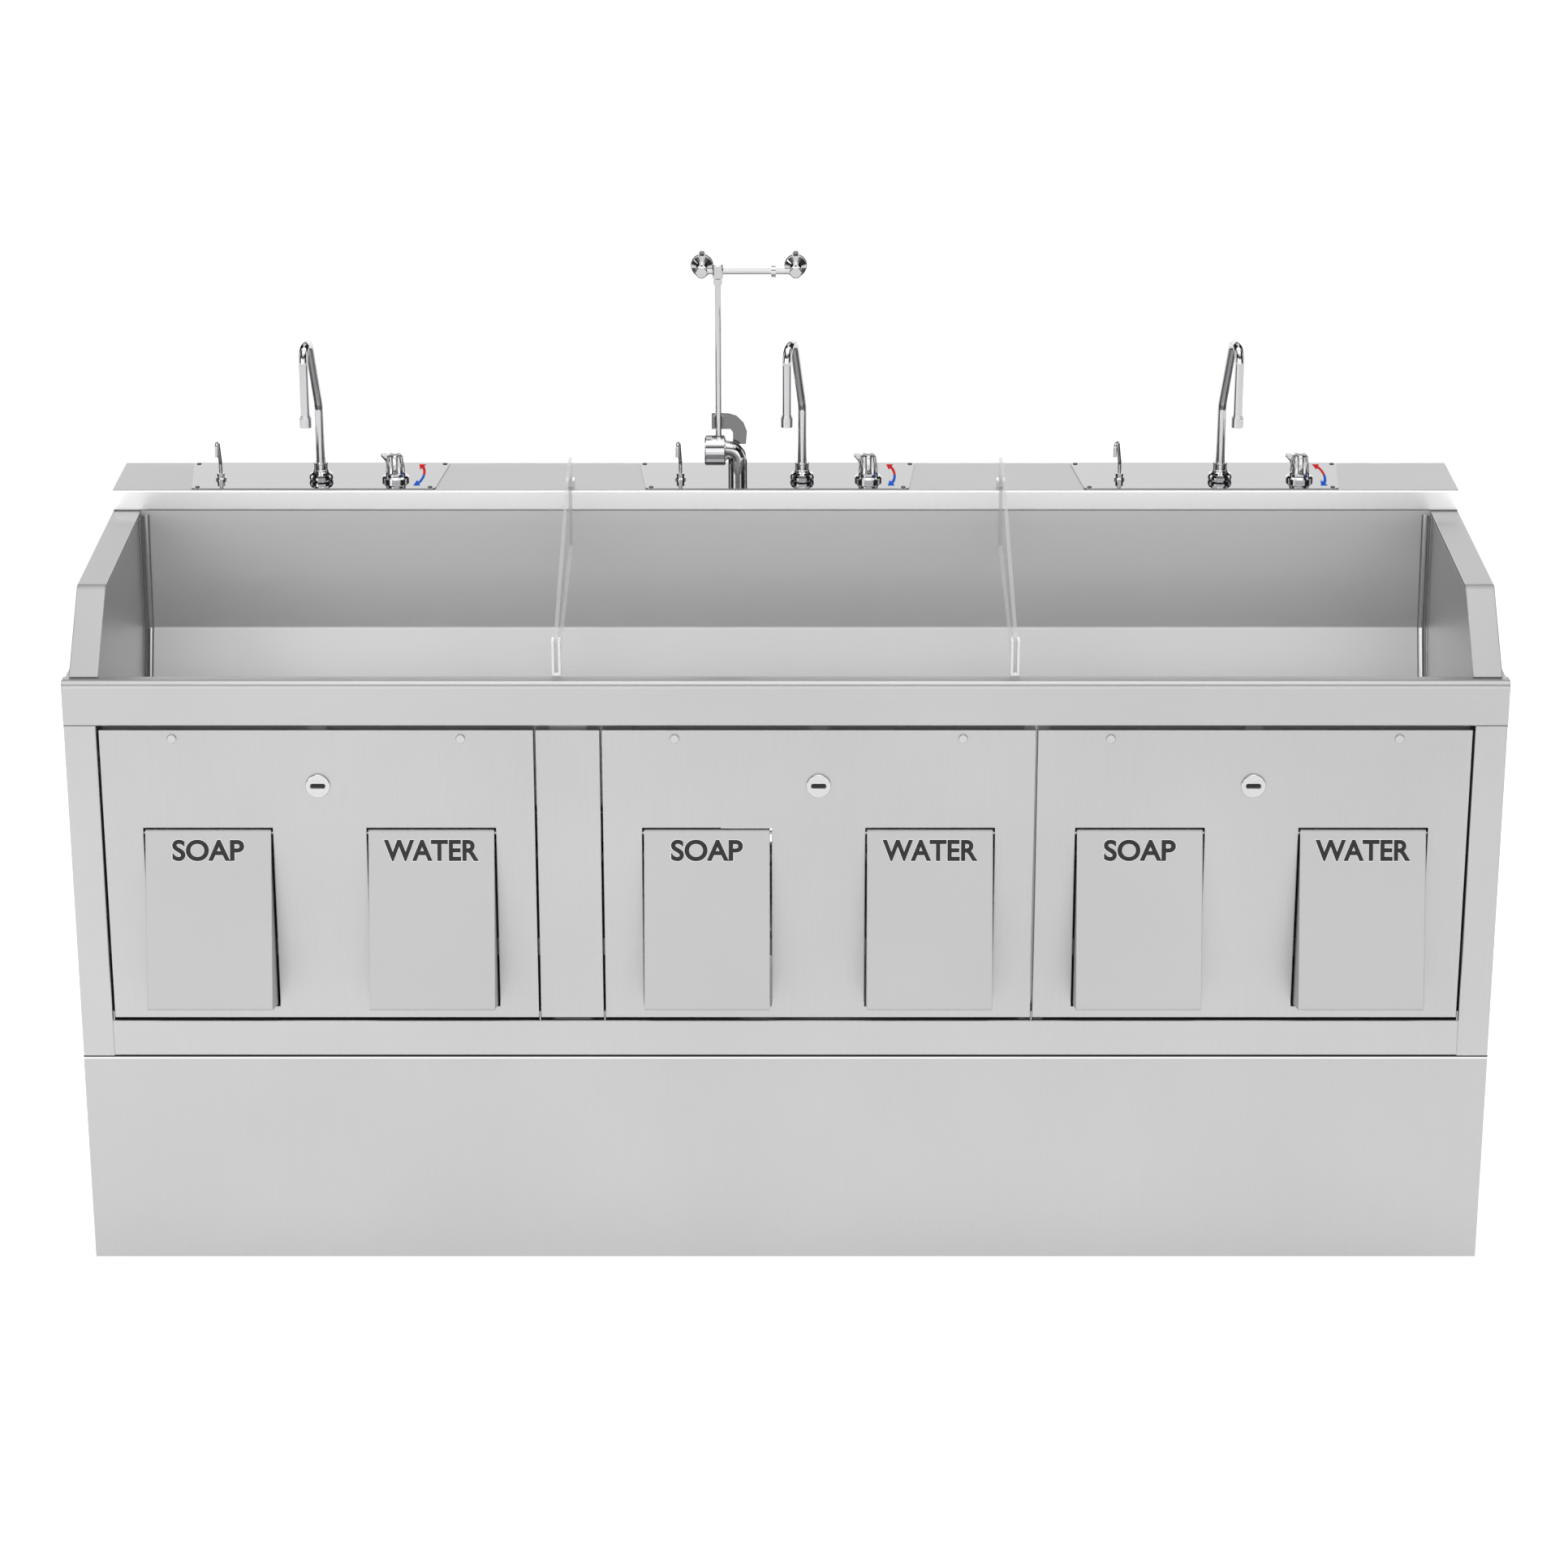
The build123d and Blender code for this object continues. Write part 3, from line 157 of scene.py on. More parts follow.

# ---------------------------------------------------------------- cabinet, plinth and frame
# Folded stainless sheet on a welded frame of square tube. The satin was brushed in along each
# piece, and folds and cut edges carry a painted highlight, on a few pieces a painted shade; these two effects
# serve every steel here.


def grain_group():
    """Fine scratches stretched along one axis, and a broad faint cloudiness."""
    group = bpy.data.node_groups.new("brushed_grain", "ShaderNodeTree")
    group.interface.new_socket("Stretch", in_out="INPUT", socket_type="NodeSocketVector")
    group.interface.new_socket("Grain", in_out="OUTPUT", socket_type="NodeSocketFloat")
    group.interface.new_socket("Cloud", in_out="OUTPUT", socket_type="NodeSocketFloat")
    given = add_node(group, "NodeGroupInput")
    result = add_node(group, "NodeGroupOutput")
    place = add_node(group, "ShaderNodeTexCoord")
    drawn_out = add_node(group, "ShaderNodeVectorMath", operation="MULTIPLY")
    group.links.new(place.outputs["Object"], drawn_out.inputs[0])
    group.links.new(given.outputs["Stretch"], drawn_out.inputs[1])
    scratches = add_node(group, "ShaderNodeTexNoise")
    scratches.inputs["Scale"].default_value = 1.0
    scratches.inputs["Detail"].default_value = 5.0
    scratches.inputs["Roughness"].default_value = 0.75
    group.links.new(drawn_out.outputs["Vector"], scratches.inputs["Vector"])
    group.links.new(scratches.outputs["Fac"], result.inputs["Grain"])
    clouds = add_node(group, "ShaderNodeTexNoise")
    clouds.inputs["Scale"].default_value = 2.6
    clouds.inputs["Detail"].default_value = 2.5
    group.links.new(place.outputs["Object"], clouds.inputs["Vector"])
    group.links.new(clouds.outputs["Fac"], result.inputs["Cloud"])
    return group


def edge_group():
    """A mask of the folds and cut edges, where painted edge light and shade is laid, with the normal that
    rounds them.
    """
    group = bpy.data.node_groups.new("edge_rounding_and_painted_light", "ShaderNodeTree")
    group.interface.new_socket("Width", in_out="INPUT", socket_type="NodeSocketFloat")
    group.interface.new_socket("Edge", in_out="OUTPUT", socket_type="NodeSocketFloat")
    group.interface.new_socket("Normal", in_out="OUTPUT", socket_type="NodeSocketVector")
    given = add_node(group, "NodeGroupInput")
    result = add_node(group, "NodeGroupOutput")
    surface = add_node(group, "ShaderNodeNewGeometry")
    rounded = add_node(group, "ShaderNodeBevel", samples=4)
    group.links.new(given.outputs["Width"], rounded.inputs["Radius"])
    agreement = add_node(group, "ShaderNodeVectorMath", operation="DOT_PRODUCT")
    group.links.new(surface.outputs["Normal"], agreement.inputs[0])
    group.links.new(rounded.outputs["Normal"], agreement.inputs[1])
    mask = add_node(group, "ShaderNodeMapRange")
    mask.inputs["From Min"].default_value = 0.995
    mask.inputs["From Max"].default_value = 0.80
    group.links.new(agreement.outputs["Value"], mask.inputs["Value"])
    group.links.new(mask.outputs["Result"], result.inputs["Edge"])
    group.links.new(rounded.outputs["Normal"], result.inputs["Normal"])
    return group


brushed_grain = grain_group()
edge_rounding_and_painted_light = edge_group()
grain_up = (900.0, 900.0, 14.0)
grain_along = (14.0, 900.0, 900.0)
satin_edge_highlight = (0.66, 0.66, 0.66)


def blended(tree, base, mask, shade):
    """The base colour with a grey laid over it where a mask says."""
    laid = add_node(tree, "ShaderNodeMix", data_type="RGBA")
    laid.inputs[7].default_value = (shade, shade, shade, 1)
    tree.links.new(base, laid.inputs[6])
    tree.links.new(mask, laid.inputs["Factor"])
    return laid.outputs[2]


def painted_facing_light(tree, base, direction, shade, least=0.80):
    """A grey laid over the faces that look along a direction: painted light where it is lighter, painted
    shade where it is darker.
    """
    surface = add_node(tree, "ShaderNodeNewGeometry")
    agreement = add_node(tree, "ShaderNodeVectorMath", operation="DOT_PRODUCT")
    agreement.inputs[1].default_value = direction
    tree.links.new(surface.outputs["Normal"], agreement.inputs[0])
    mask = add_node(tree, "ShaderNodeMapRange")
    mask.inputs["From Min"].default_value = least
    mask.inputs["From Max"].default_value = least + 0.04
    tree.links.new(agreement.outputs["Value"], mask.inputs["Value"])
    return blended(tree, base, mask.outputs["Result"], shade)


def painted_line(tree, base, axis, level, half_width, shade):
    """A thin painted line across a piece at one level of one axis: painted shadow in a joint, painted
    highlight on a bend.
    """
    place = add_node(tree, "ShaderNodeTexCoord")
    split = add_node(tree, "ShaderNodeSeparateXYZ")
    tree.links.new(place.outputs["Object"], split.inputs["Vector"])
    line = add_node(tree, "ShaderNodeMath", operation="COMPARE")
    line.inputs[1].default_value = level
    line.inputs[2].default_value = half_width
    tree.links.new(split.outputs[axis], line.inputs[0])
    return blended(tree, base, line.outputs["Value"], shade)


def painted_height_shade(tree, base, low_level, high_level, shade):
    """A painted shade that comes in evenly from one height to another, standing in for light fading into a
    bend.
    """
    place = add_node(tree, "ShaderNodeTexCoord")
    split = add_node(tree, "ShaderNodeSeparateXYZ")
    tree.links.new(place.outputs["Object"], split.inputs["Vector"])
    mask = add_node(tree, "ShaderNodeMapRange")
    mask.inputs["From Min"].default_value = low_level
    mask.inputs["From Max"].default_value = high_level
    tree.links.new(split.outputs["Z"], mask.inputs["Value"])
    return blended(tree, base, mask.outputs["Result"], shade)


def metal(
    name, shade, roughness, stretch, painted_edge_grey=satin_edge_highlight, scratch=0.1, edge=0.0022, clouding=0.06, extra=()
):
    """A metal finish brushed along the axis whose stretch is smallest, with painted light and shade on its
    edges and any extra effects.
    """
    finish = bpy.data.materials.new(name)
    finish.use_nodes = True
    tree = finish.node_tree
    shader = tree.nodes["Principled BSDF"]
    shader.inputs["Metallic"].default_value = 1.0
    grain = add_node(tree, "ShaderNodeGroup", node_tree=brushed_grain)
    grain.inputs["Stretch"].default_value = stretch
    edges = add_node(tree, "ShaderNodeGroup", node_tree=edge_rounding_and_painted_light)
    edges.inputs["Width"].default_value = edge
    weighed = add_node(tree, "ShaderNodeMath", operation="MULTIPLY")
    weighed.inputs[1].default_value = 0.5
    tree.links.new(grain.outputs["Cloud"], weighed.inputs[0])
    pattern = add_node(tree, "ShaderNodeMath", operation="MULTIPLY_ADD")
    pattern.inputs[1].default_value = 0.5
    tree.links.new(grain.outputs["Grain"], pattern.inputs[0])
    tree.links.new(weighed.outputs["Value"], pattern.inputs[2])
    tint = add_node(tree, "ShaderNodeMix", data_type="RGBA")
    tint.inputs[6].default_value = (*(channel * (1 - 2 * clouding) for channel in shade), 1)
    tint.inputs[7].default_value = (*(min(1.0, channel * (1 + 2 * clouding)) for channel in shade), 1)
    tree.links.new(pattern.outputs["Value"], tint.inputs["Factor"])
    # Painted edge light and shade: the painted edge grey is laid over the brushed colour along the edges.
    edge_painted = add_node(tree, "ShaderNodeMix", data_type="RGBA")
    edge_painted.inputs[7].default_value = (*painted_edge_grey, 1)
    tree.links.new(tint.outputs[2], edge_painted.inputs[6])
    tree.links.new(edges.outputs["Edge"], edge_painted.inputs["Factor"])
    colour = edge_painted.outputs[2]
    for effect, *values in extra:
        colour = effect(tree, colour, *values)
    tree.links.new(colour, shader.inputs["Base Color"])
    uneven = add_node(tree, "ShaderNodeMapRange")
    uneven.inputs["To Min"].default_value = roughness * 0.85
    uneven.inputs["To Max"].default_value = roughness * 1.2
    tree.links.new(grain.outputs["Grain"], uneven.inputs["Value"])
    tree.links.new(uneven.outputs["Result"], shader.inputs["Roughness"])
    relief = add_node(tree, "ShaderNodeBump")
    relief.inputs["Strength"].default_value = scratch
    relief.inputs["Distance"].default_value = 0.0002
    tree.links.new(grain.outputs["Grain"], relief.inputs["Height"])
    tree.links.new(edges.outputs["Normal"], relief.inputs["Normal"])
    tree.links.new(relief.outputs["Normal"], shader.inputs["Normal"])
    return finish


def dress(finish, *names):
    """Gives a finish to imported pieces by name."""
    for name in names:
        for holder in nodes[name].material_slots:
            holder.material = finish


panel_satin = metal("panel_satin", (0.43, 0.43, 0.43), 0.36, grain_up)
dress(panel_satin, "side_panels", "back_panel")
plinth_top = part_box("base_panels")[1][2]
# The plinth's top carries a painted shadow line in the joint under the rail and a painted highlight line
# along the bend below it.
painted_joint_shadow = (painted_line, "Z", plinth_top - 0.0012, 0.0013, 0.05)
painted_bend_highlight = (painted_line, "Z", plinth_top - 0.0042, 0.0015, 0.75)
plinth_satin = metal(
    "plinth_satin", (0.45, 0.45, 0.45), 0.36, grain_up, extra=[painted_joint_shadow, painted_bend_highlight]
)
dress(plinth_satin, "base_panels")
frame_satin = metal("frame_satin", (0.46, 0.46, 0.46), 0.34, grain_up)
dress(frame_satin, "front_frame", "cabinet_floor", "base_legs")
foot_metal = metal("foot_metal", (0.38, 0.38, 0.375), 0.3, grain_up, edge=0.001)
dress(foot_metal, "levelling_feet")

# ---------------------------------------------------------------- trough, apron and deck
# One long trough folded from a single sheet, with welded end plates that rise into splashes.
# Its grain runs from end to end, and the rolled rim and the nosing carry a painted highlight line.
facing_up = (0.0, 0.0, 1.0)
facing_front = (0.0, -1.0, 0.0)
# Painted light and shade in the trough: the light base grey lifts the shaded lower wall, the top of the wall
# is painted darker and the upward-facing floor gets painted shade.
trough_satin = metal(
    "trough_satin", (0.84, 0.84, 0.84), 0.38, grain_along, scratch=0.16, clouding=0.08,
    extra=[(painted_height_shade, 0.78, 1.10, 0.50), (painted_facing_light, facing_up, 0.33)],
)
dress(trough_satin, "basin")
facing_slope = (0.0, -0.75, 0.66)
# The splashes' sloping front faces get painted shade, a darker grey than the rest of each splash.
splash_satin = metal(
    "splash_satin", (0.45, 0.45, 0.45), 0.34, grain_up,
    extra=[(painted_facing_light, facing_slope, 0.34, 0.90)],
)
dress(splash_satin, "side_splashes")
# The deck's nosing gets a painted highlight: its front-facing faces are painted near white and its edges a
# light grey.
deck_satin = metal(
    "deck_satin", (0.48, 0.48, 0.48), 0.36, grain_along, (0.90, 0.90, 0.90),
    extra=[(painted_facing_light, facing_front, 0.97)],
)
dress(deck_satin, "rear_deck")
# The apron's rolled rim and edges get a painted highlight through a light edge grey.
apron_satin = metal("apron_satin", (0.45, 0.45, 0.45), 0.36, grain_along, (0.62, 0.62, 0.62))
dress(apron_satin, "front_apron")

cove_radius = 0.014
cove_steps = 8
fold_steps = 6
trough_low, trough_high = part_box("basin")
door_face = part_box("access_door_1")[0][1]
sheet_thickness = 0.0015
inner_half = trough_high[0] - sheet_thickness
trough_floor = trough_low[2] + sheet_thickness
trough_line = [
    (door_face + 0.0265, 0.991),
    (door_face + 0.080, trough_floor),
    (door_face + 0.460, trough_floor),
    (door_face + 0.530, 0.922),
    (door_face + 0.5425, 1.118),
]
trough_folds = [0.025, 0.025, 0.012]
# The coves' edges get a painted highlight through a light edge grey.
cove_polish = metal("cove_polish", (0.52, 0.52, 0.52), 0.2, grain_up, (0.8, 0.8, 0.8), 0.05, 0.0012)


def keep(piece, name, body, finish, angle=35):
    """Settles a modelled piece: place in its mesh, finish, smooth faces, body and slot."""
    bpy.ops.object.select_all(action="DESELECT")
    bpy.context.view_layer.objects.active = piece
    piece.select_set(True)
    piece.name = name
    piece.data.name = name
    bpy.ops.object.transform_apply(location=True, rotation=True, scale=True)
    bpy.ops.object.shade_smooth_by_angle(angle=math.radians(angle))
    piece.data.materials.clear()
    piece.data.materials.append(finish)
    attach(piece, body)
    return piece


def trough_path():
    """Points and inward normals round the trough's inner face, its folds as arcs."""
    path = []
    lines = list(zip(trough_line, trough_line[1:]))
    normals = []
    for (y, z), (next_y, next_z) in lines:
        length = math.hypot(next_y - y, next_z - z)
        normals.append((-(next_z - z) / length, (next_y - y) / length))
    path.append((*trough_line[0], *normals[0]))
    for (y, z), radius, before, after in zip(trough_line[1:-1], trough_folds, normals, normals[1:]):
        share = radius / (1 + before[0] * after[0] + before[1] * after[1])
        centre_y = y + share * (before[0] + after[0])
        centre_z = z + share * (before[1] + after[1])
        start = math.atan2(before[1], before[0])
        end = math.atan2(after[1], after[0])
        for step in range(fold_steps + 1):
            angle = start + (end - start) * step / fold_steps
            normal_y, normal_z = math.cos(angle), math.sin(angle)
            path.append((centre_y - radius * normal_y, centre_z - radius * normal_z, normal_y, normal_z))
    path.append((*trough_line[-1], *normals[-1]))
    return path


def corner_cove(side, path, name):
    """A concave weld dressed smooth where the trough sheet meets an end plate."""
    end_x = side * inner_half
    inwards = -side
    sections = []
    for y, z, normal_y, normal_z in path:
        section = [(end_x, y, z)]
        for step in range(cove_steps + 1):
            angle = math.pi / 2 * step / cove_steps
            off_end = cove_radius * (1 - math.sin(angle))
            off_wall = cove_radius * (1 - math.cos(angle))
            section.append((end_x + inwards * off_end, y + normal_y * off_wall, z + normal_z * off_wall))
        sections.append(section)
    bpy.ops.object.select_all(action="DESELECT")
    bpy.ops.mesh.primitive_circle_add(vertices=cove_steps + 2, radius=1, fill_type="NGON")
    cove = bpy.context.object
    for corner, spot in zip(cove.data.vertices, sections[0]):
        corner.co = spot
    for before, after in zip(sections, sections[1:]):
        bpy.ops.object.mode_set(mode="EDIT")
        bpy.ops.mesh.extrude_region_move(TRANSFORM_OT_translate={"value": (0, 0, 0)})
        bpy.ops.object.mode_set(mode="OBJECT")
        moved = [corner for corner in cove.data.vertices if corner.select]
        for corner, spot in zip(moved, after):
            corner.co = spot
    bpy.ops.object.mode_set(mode="EDIT")
    bpy.ops.mesh.select_all(action="SELECT")
    bpy.ops.mesh.normals_make_consistent(inside=False)
    bpy.ops.object.mode_set(mode="OBJECT")
    keep(cove, name, "cabinet", cove_polish, 30)


corner_cove(-1, trough_path(), "left_cove")
corner_cove(1, trough_path(), "right_cove")


# ---------------------------------------------------------------- doors and filler panel
# Three doors folded from sheet tip forwards on pins at their feet. A narrow fixed panel of the
# same sheet fills the front between the first door and the second.
door_satin = metal("door_satin", (0.45, 0.45, 0.45), 0.34, grain_up, clouding=0.08)
dress(door_satin, "access_door_1", "access_door_2", "access_door_3", "filler_panel")
# The studs' rims get a painted shade ring through a dark edge grey.
stud_steel = metal("stud_steel", (0.50, 0.50, 0.50), 0.24, grain_up, (0.14, 0.14, 0.14), edge=0.0018)
dress(stud_steel, "door_hardware_1", "door_hardware_2", "door_hardware_3", "door_pivots")

# ---------------------------------------------------------------- quarter-turn locks
# Each door has a polished lock face with a long rounded key slot, its edges painted bright. The slot is dark
# inside, because the keyway behind it is deep; that shade is painted on a black plate set in the slot, which
# turns with the lock.
key_slot_length = 0.0232
key_slot_height = 0.0072
key_plate_depth = 0.0008
key_slot_depth = 0.003
lock_chrome = metal("lock_chrome", (0.55, 0.55, 0.55), 0.12, grain_up, (0.85, 0.85, 0.85), 0.03, 0.0016, 0.03)
keyway_painted_shade = metal("keyway_painted_shade", (0.035, 0.035, 0.037), 0.5, grain_up, (0.08, 0.08, 0.08), 0.1, 0.0005)

for number in (1, 2, 3):
    dress(lock_chrome, f"cam_lock_{number}")
    low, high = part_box(f"cam_lock_{number}")
    front = low[1]
    door_low, door_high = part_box(f"access_door_{number}")
    middle_x = (door_low[0] + door_high[0]) / 2
    lock_z = (low[2] + high[2]) / 2
    # A black plate set in the slot: painted shade for the deep keyway.
    bpy.ops.object.select_all(action="DESELECT")
    bpy.ops.mesh.primitive_cylinder_add(vertices=32, radius=key_slot_height / 2, depth=key_plate_depth)
    keyway_shade_plate = bpy.context.object
    bpy.ops.object.mode_set(mode="EDIT")
    for side in (-1, 1):
        bpy.ops.mesh.select_all(action="DESELECT")
        bpy.ops.object.mode_set(mode="OBJECT")
        for corner in keyway_shade_plate.data.vertices:
            corner.select = corner.co.x * side > 1e-5
        bpy.ops.object.mode_set(mode="EDIT")
        reach = side * (key_slot_length - key_slot_height) / 2
        bpy.ops.transform.translate(value=(reach, 0, 0))
    bpy.ops.object.mode_set(mode="OBJECT")
    keyway_shade_plate.rotation_euler = (math.pi / 2, 0, 0)
    keyway_shade_plate.location = (middle_x, front + key_slot_depth - key_plate_depth / 2, lock_z)
    keep(keyway_shade_plate, f"keyway_{number}", f"lock_{number}", keyway_painted_shade)

# ---------------------------------------------------------------- knee pedals and their words
# Each door carries two pedals, folded wedges of sheet that hang at the top and are pressed with
# the knee. A plain word filled with dark enamel says what each gives; its rim is left bright.
# The pedals' folded edges get a painted highlight through a light edge grey.
pedal_satin = metal("pedal_satin", (0.37, 0.37, 0.37), 0.30, grain_up, (0.72, 0.72, 0.72), 0.08, 0.0026, 0.05)
plunger_steel = metal("plunger_steel", (0.42, 0.42, 0.42), 0.2, grain_along, edge=0.0008)
word_enamel = metal("word_enamel", (0.028, 0.028, 0.03), 0.6, grain_up, (0.03, 0.03, 0.03), 0.05, 0.0002)
enamel_shader = word_enamel.node_tree.nodes["Principled BSDF"]
enamel_shader.inputs["Metallic"].default_value = 0.0
enamel_shader.inputs["Specular IOR Level"].default_value = 0.2
word_rim = metal("word_rim", (0.62, 0.62, 0.62), 0.3, grain_up, (0.7, 0.7, 0.7), 0.02, 0.0003, 0.01)
pedal_length = 0.291
word_height = 0.0345
word_drop = 0.0335
word_widths = {"soap": 0.115, "water": 0.152}
enamel_rise = 0.0003
rim_rise = 0.00015
rim_spread = 0.0009
word_weight = 0.030
rim_weight = 0.042


def pedal_word(kind, number, name, finish, spread, rise, weight):
    """The pedal's word as a thin raised sheet that lies on the sloping face."""
    low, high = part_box(f"{kind}_pedal_{number}")
    door_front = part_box(f"access_door_{number}")[0][1]
    slope = math.asin((door_front - low[1]) / pedal_length)
    bpy.ops.object.select_all(action="DESELECT")
    bpy.ops.object.text_add()
    word = bpy.context.object
    word.data.body = kind.upper()
    word.data.extrude = 0.5
    word.data.offset = weight
    bpy.ops.object.convert(target="MESH")
    word = bpy.context.object
    corners = [corner.co.copy() for corner in word.data.vertices]
    left, right = min(c.x for c in corners), max(c.x for c in corners)
    foot, top = min(c.y for c in corners), max(c.y for c in corners)
    width, height = word_widths[kind] + 2 * spread, word_height + 2 * spread
    for corner in word.data.vertices:
        corner.co.x = ((corner.co.x - left) / (right - left) - 0.5) * width
        corner.co.y = ((corner.co.y - foot) / (top - foot) - 0.5) * height
        corner.co.z = corner.co.z * rise
    across_face = Vector((1, 0, 0))
    up_face = Vector((0, math.sin(slope), math.cos(slope)))
    out = Vector((0, -math.cos(slope), math.sin(slope)))
    centre = Vector(((low[0] + high[0]) / 2, door_front, high[2])) - up_face * word_drop + out * rise / 2
    turn = Matrix((across_face, up_face, out)).transposed().to_4x4()
    word.matrix_world = Matrix.Translation(centre) @ turn
    return keep(word, name, f"{kind}_pedal_{number}", finish, 20)


for kind in ("soap", "water"):
    for number in (1, 2, 3):
        dress(pedal_satin, f"{kind}_pedal_{number}")
        dress(plunger_steel, f"{kind}_plunger_{number}")
        pedal_word(kind, number, f"{kind}_word_{number}", word_enamel, 0.0, enamel_rise, word_weight)
        pedal_word(kind, number, f"{kind}_word_rim_{number}", word_rim, rim_spread, rim_rise, rim_weight)

# ---------------------------------------------------------------- clear dividers
# Two clear acrylic sheets part the trough into three places. Each stands in bright clips on
# the rim and on the deck. Its polished edges are drawn nearly opaque pale grey, a painted highlight for the
# light that gathers in them.
acrylic_grey = (0.68, 0.69, 0.69, 1)
painted_edge_cover = 0.45
face_cover = 0.09
acrylic = bpy.data.materials.new("clear_acrylic")
acrylic.use_nodes = True
tree = acrylic.node_tree
shader = tree.nodes["Principled BSDF"]
shader.inputs["Base Color"].default_value = acrylic_grey
shader.inputs["IOR"].default_value = 1.2
surface = add_node(tree, "ShaderNodeNewGeometry")
sideways = add_node(tree, "ShaderNodeSeparateXYZ")
tree.links.new(surface.outputs["Normal"], sideways.inputs["Vector"])
broad_face = add_node(tree, "ShaderNodeMath", operation="ABSOLUTE")
tree.links.new(sideways.outputs["X"], broad_face.inputs[0])
clearness = add_node(tree, "ShaderNodeMapRange")
clearness.inputs["To Min"].default_value = painted_edge_cover
clearness.inputs["To Max"].default_value = face_cover
tree.links.new(broad_face.outputs["Value"], clearness.inputs["Value"])
tree.links.new(clearness.outputs["Result"], shader.inputs["Alpha"])
smear = add_node(tree, "ShaderNodeTexNoise")
smear.inputs["Scale"].default_value = 9.0
place = add_node(tree, "ShaderNodeTexCoord")
tree.links.new(place.outputs["Object"], smear.inputs["Vector"])
wiped = add_node(tree, "ShaderNodeMapRange")
wiped.inputs["To Min"].default_value = 0.25
wiped.inputs["To Max"].default_value = 0.4
tree.links.new(smear.outputs["Fac"], wiped.inputs["Value"])
tree.links.new(wiped.outputs["Result"], shader.inputs["Roughness"])
dress(acrylic, "dividers")
# The clips' edges get a painted highlight through a near-white edge grey.
clip_steel = metal("clip_steel", (0.60, 0.60, 0.60), 0.16, grain_up, (0.98, 0.98, 0.98), 0.04, 0.0012)
dress(clip_steel, "divider_clips")

# ---------------------------------------------------------------- polished deck plates
# Each place has a mirror-polished plate, a little wider at its back and rounded at its corners.
# Four small screws hold it; it carries the fittings and shows their reflection.
# The plates' edges get a painted shade through a dark edge grey.
mirror_polish = metal(
    "mirror_polish", (0.29, 0.29, 0.295), 0.03, grain_along, (0.12, 0.12, 0.12), 0.004, 0.001, 0.02
)
dress(mirror_polish, "deck_plates")
# The screws' edges get a painted highlight through a lighter edge grey.
screw_steel = metal("screw_steel", (0.10, 0.10, 0.10), 0.25, grain_up, (0.40, 0.40, 0.40), 0.1, 0.0006)
dress(screw_steel, "deck_screws")

# ---------------------------------------------------------------- faucets, soap spouts, drains
# Rigid goosenecks of chromed brass tube turn in bulb-shaped bases; thin bent soap tubes stand
# beside them, and each place drains through a chromed strainer.
# The chrome's edges get a painted highlight through a light edge grey.
chrome = metal("chrome", (0.52, 0.52, 0.53), 0.05, (60, 60, 60), (0.75, 0.75, 0.75), 0.01, 0.0006, 0.02)
dress(chrome, "faucet_bases", "soap_spout_bases", "mixing_valves", "drain_strainers")
for number in (1, 2, 3):
    dress(chrome, f"spout_{number}", f"soap_spout_{number}")

# ---------------------------------------------------------------- mixing knobs
# A cast chromed knob on each valve: tapered, with eight broad flutes, a domed cap and a thumb
# lever that curls out at its upper left.
flutes = 8
knob_segments = 96
flute_depth = 0.11
knob_rings = [
    (1.00, 0.00), (1.00, 0.10), (0.93, 0.12), (0.96, 0.16), (0.90, 0.50),
    (0.82, 0.86), (0.76, 0.93), (0.62, 0.97), (0.58, 0.94), (0.30, 1.00),
]
fluted_from = 0.14
fluted_to = 0.9
lever_outline = [
    (0.0, 0.30), (0.75, 0.36), (1.05, 0.66), (1.48, 0.86), (1.42, 0.98), (1.05, 0.99), (0.6, 0.9),
]
lever_thickness = 0.007
lever_rounding = 0.0018
lever_turn = math.radians(-14)


def ring_stack(rings, radius, height, place, segments):
    """A closed turned shape: a disc extruded upwards and resized ring by ring."""
    bpy.ops.object.select_all(action="DESELECT")
    bpy.ops.mesh.primitive_circle_add(
        vertices=segments, radius=rings[0][0] * radius, fill_type="NGON", location=place
    )
    bpy.ops.object.mode_set(mode="EDIT")
    bpy.ops.mesh.select_all(action="SELECT")
    for (narrow, low), (wide, high) in zip(rings, rings[1:]):
        rise = (high - low) * height
        bpy.ops.mesh.extrude_region_move(TRANSFORM_OT_translate={"value": (0, 0, rise)})
        bpy.ops.transform.resize(value=(wide / narrow, wide / narrow, 1), center_override=place)
    bpy.ops.mesh.select_all(action="SELECT")
    bpy.ops.mesh.normals_make_consistent(inside=False)
    bpy.ops.object.mode_set(mode="OBJECT")
    return bpy.context.object


